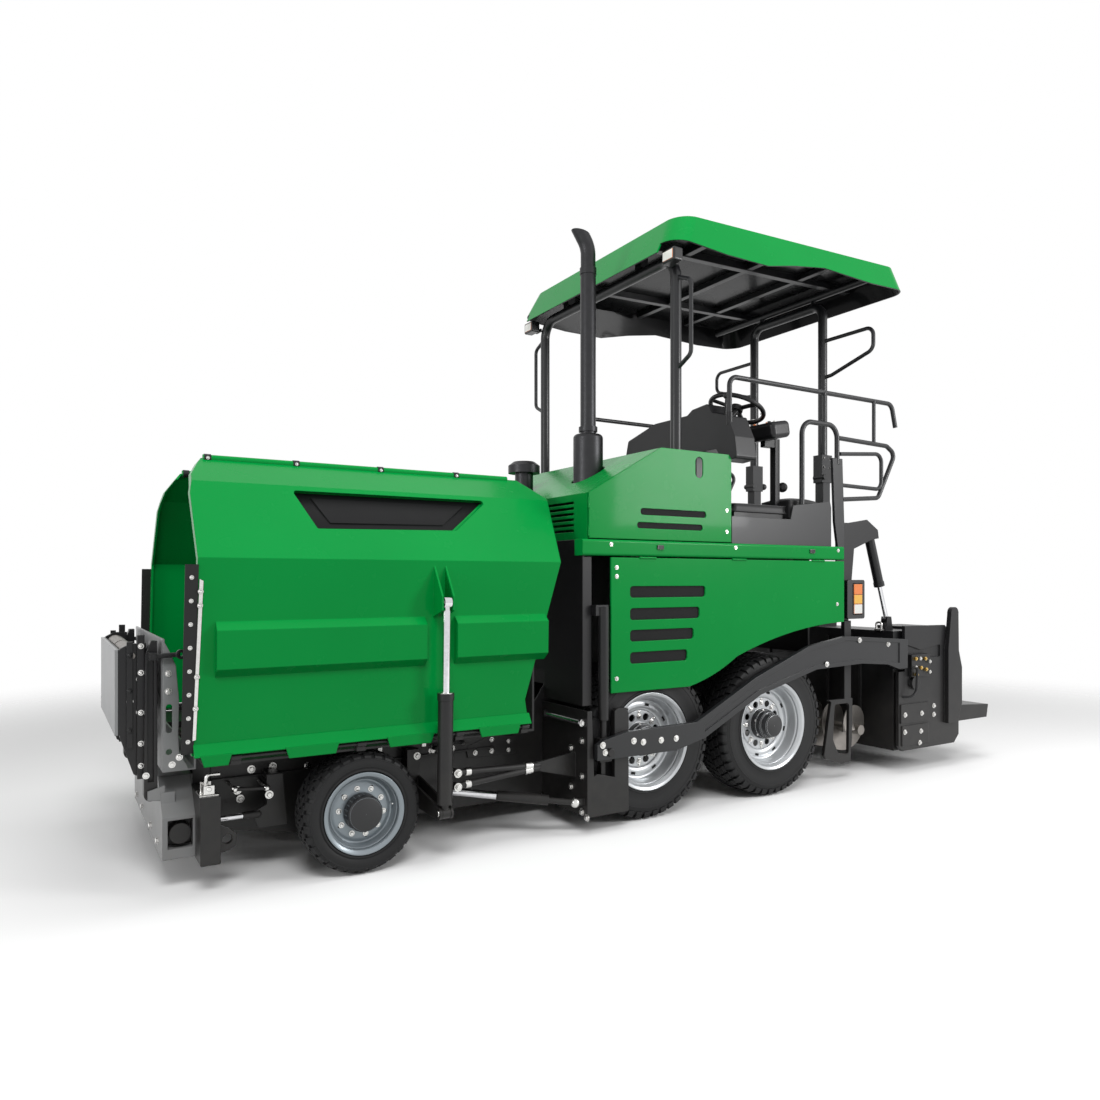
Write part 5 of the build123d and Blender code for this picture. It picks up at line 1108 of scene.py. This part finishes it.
# some caps take the lens finishes, and so carry a painted glow
caps = (orange_lens, clear_lens, hub_paint)
for row in range(2):
    for k in range(5):
        spot = seat_on(["console"], (-0.815 + 0.050 * row, 0.510 + 0.065 * k, 2.46), UP)
        panel.rod(spot - Vector((0, 0, 0.001)), spot + Vector((0, 0, 0.010)), 0.011, caps[(row + k) % 3],
                  sides=16)
foot = seat_on(["console"], (-0.440, 0.700, 2.50), UP)
panel.rod(foot - Vector((0, 0, 0.002)), foot + Vector((-0.010, 0, 0.110)), 0.008, frame_paint, sides=12)
panel.ball(foot + Vector((-0.012, 0, 0.125)), 0.023, hub_paint)
panel.ride()


# %% [markdown]
# ## Light, floor and camera
# A studio for a machine is a white tent. The world is the tent: it lights evenly, and shows as plain white
# behind the machine and in its gloss. One large lamp beside the camera models the side, one above draws the
# edges of the roof, and two smaller ones light the ends. The floor is a pale disc that keeps the machine's
# shadow and fades to nothing.

# %% World
TENT_LIGHT = 0.33
tent = bpy.data.worlds.new("studio")
bpy.context.scene.world = tent
sky = Network(tent)
glow = sky.add("ShaderNodeBackground", None,
               {"Color": (1, 1, 1, 1), "Strength": TENT_LIGHT + (1 - TENT_LIGHT) * sky.shown()})
sky.add("ShaderNodeOutputWorld", None, {"Surface": glow})


# %% Lamps
def lamp(name, place, target, size, watts, mirrored=True):
    """A rectangular lamp that looks at its target; not mirrored, it only lights."""
    data = bpy.data.lights.new(name, "AREA")
    data.shape = "RECTANGLE"
    data.size, data.size_y = size
    data.energy = watts
    piece = bpy.data.objects.new(name, data)
    piece.location = place
    piece.rotation_euler = (Vector(target) - Vector(place)).to_track_quat("-Z", "Y").to_euler()
    piece.visible_glossy = mirrored
    bpy.context.scene.collection.objects.link(piece)


# the mirror images of the two largest lamps would wash out the green of the hopper
lamp("side_light", (3.6, 6.4, 7.4), (0.2, 0, 1.2), (4.0, 2.5), 410, mirrored=False)
lamp("top_light", (-0.5, 1.5, 8.0), (0, 0, 1.0), (6.0, 3.0), 250, mirrored=False)
lamp("rear_light", (-4.6, 6.2, 3.4), (-1.2, 0, 1.3), (2.0, 2.5), 260)
lamp("front_light", (9.0, 1.5, 3.0), (1.5, 0, 1.0), (2.0, 3.0), 150)

# %% Floor
FLOOR_RADIUS = 16.0
FADE_START, FADE_END = 4.5, 9.0     # distances from the middle between which the floor fades away
FLOOR_SEEN = (0.93, 0.93, 0.93, 1)
FLOOR_LIT = (0.30, 0.30, 0.30, 1)   # darker for the light that it throws back up at the machine
pale = Finish("studio_floor")
distance = pale.add("ShaderNodeVectorMath", {"operation": "LENGTH"}, {"Vector": pale.place}, out="Value")
fade = pale.add("ShaderNodeMapRange", {"interpolation_type": "SMOOTHSTEP"},
                {"Value": distance, "From Min": FADE_START, "From Max": FADE_END}, out="Result")
shade = pale.blend(pale.shown(), FLOOR_LIT, FLOOR_SEEN)
card = pale.add("ShaderNodeBsdfDiffuse", None, {"Color": shade}, out="BSDF")
clear = pale.add("ShaderNodeBsdfTransparent", None, None, out="BSDF")
surface = pale.add("ShaderNodeMixShader", None, {"Fac": fade, "Shader": card, "Shader_001": clear},
                   out="Shader")
pale.add("ShaderNodeOutputMaterial", None, {"Surface": surface})

shaper = bmesh.new()
bmesh.ops.create_circle(shaper, cap_ends=True, radius=FLOOR_RADIUS, segments=96)
floor = put_in_scene("floor", shaper, [pale.material])
floor.location = (0, 0, cad_low.z - 0.001)

# %% Camera
EYE = Vector((3.330, 4.684, 1.399))
LOOK = Vector((-0.5225, -0.8526, 0.0))
camera_data = bpy.data.cameras.new("camera")
camera_data.lens = 27.16
camera_data.sensor_width = 36
camera_data.shift_y = 0.0273
camera = bpy.data.objects.new("camera", camera_data)
camera.location = EYE
camera.rotation_euler = LOOK.to_track_quat("-Z", "Y").to_euler()
bpy.context.scene.collection.objects.link(camera)
bpy.context.scene.camera = camera
bpy.context.scene.view_settings.view_transform = "Standard"
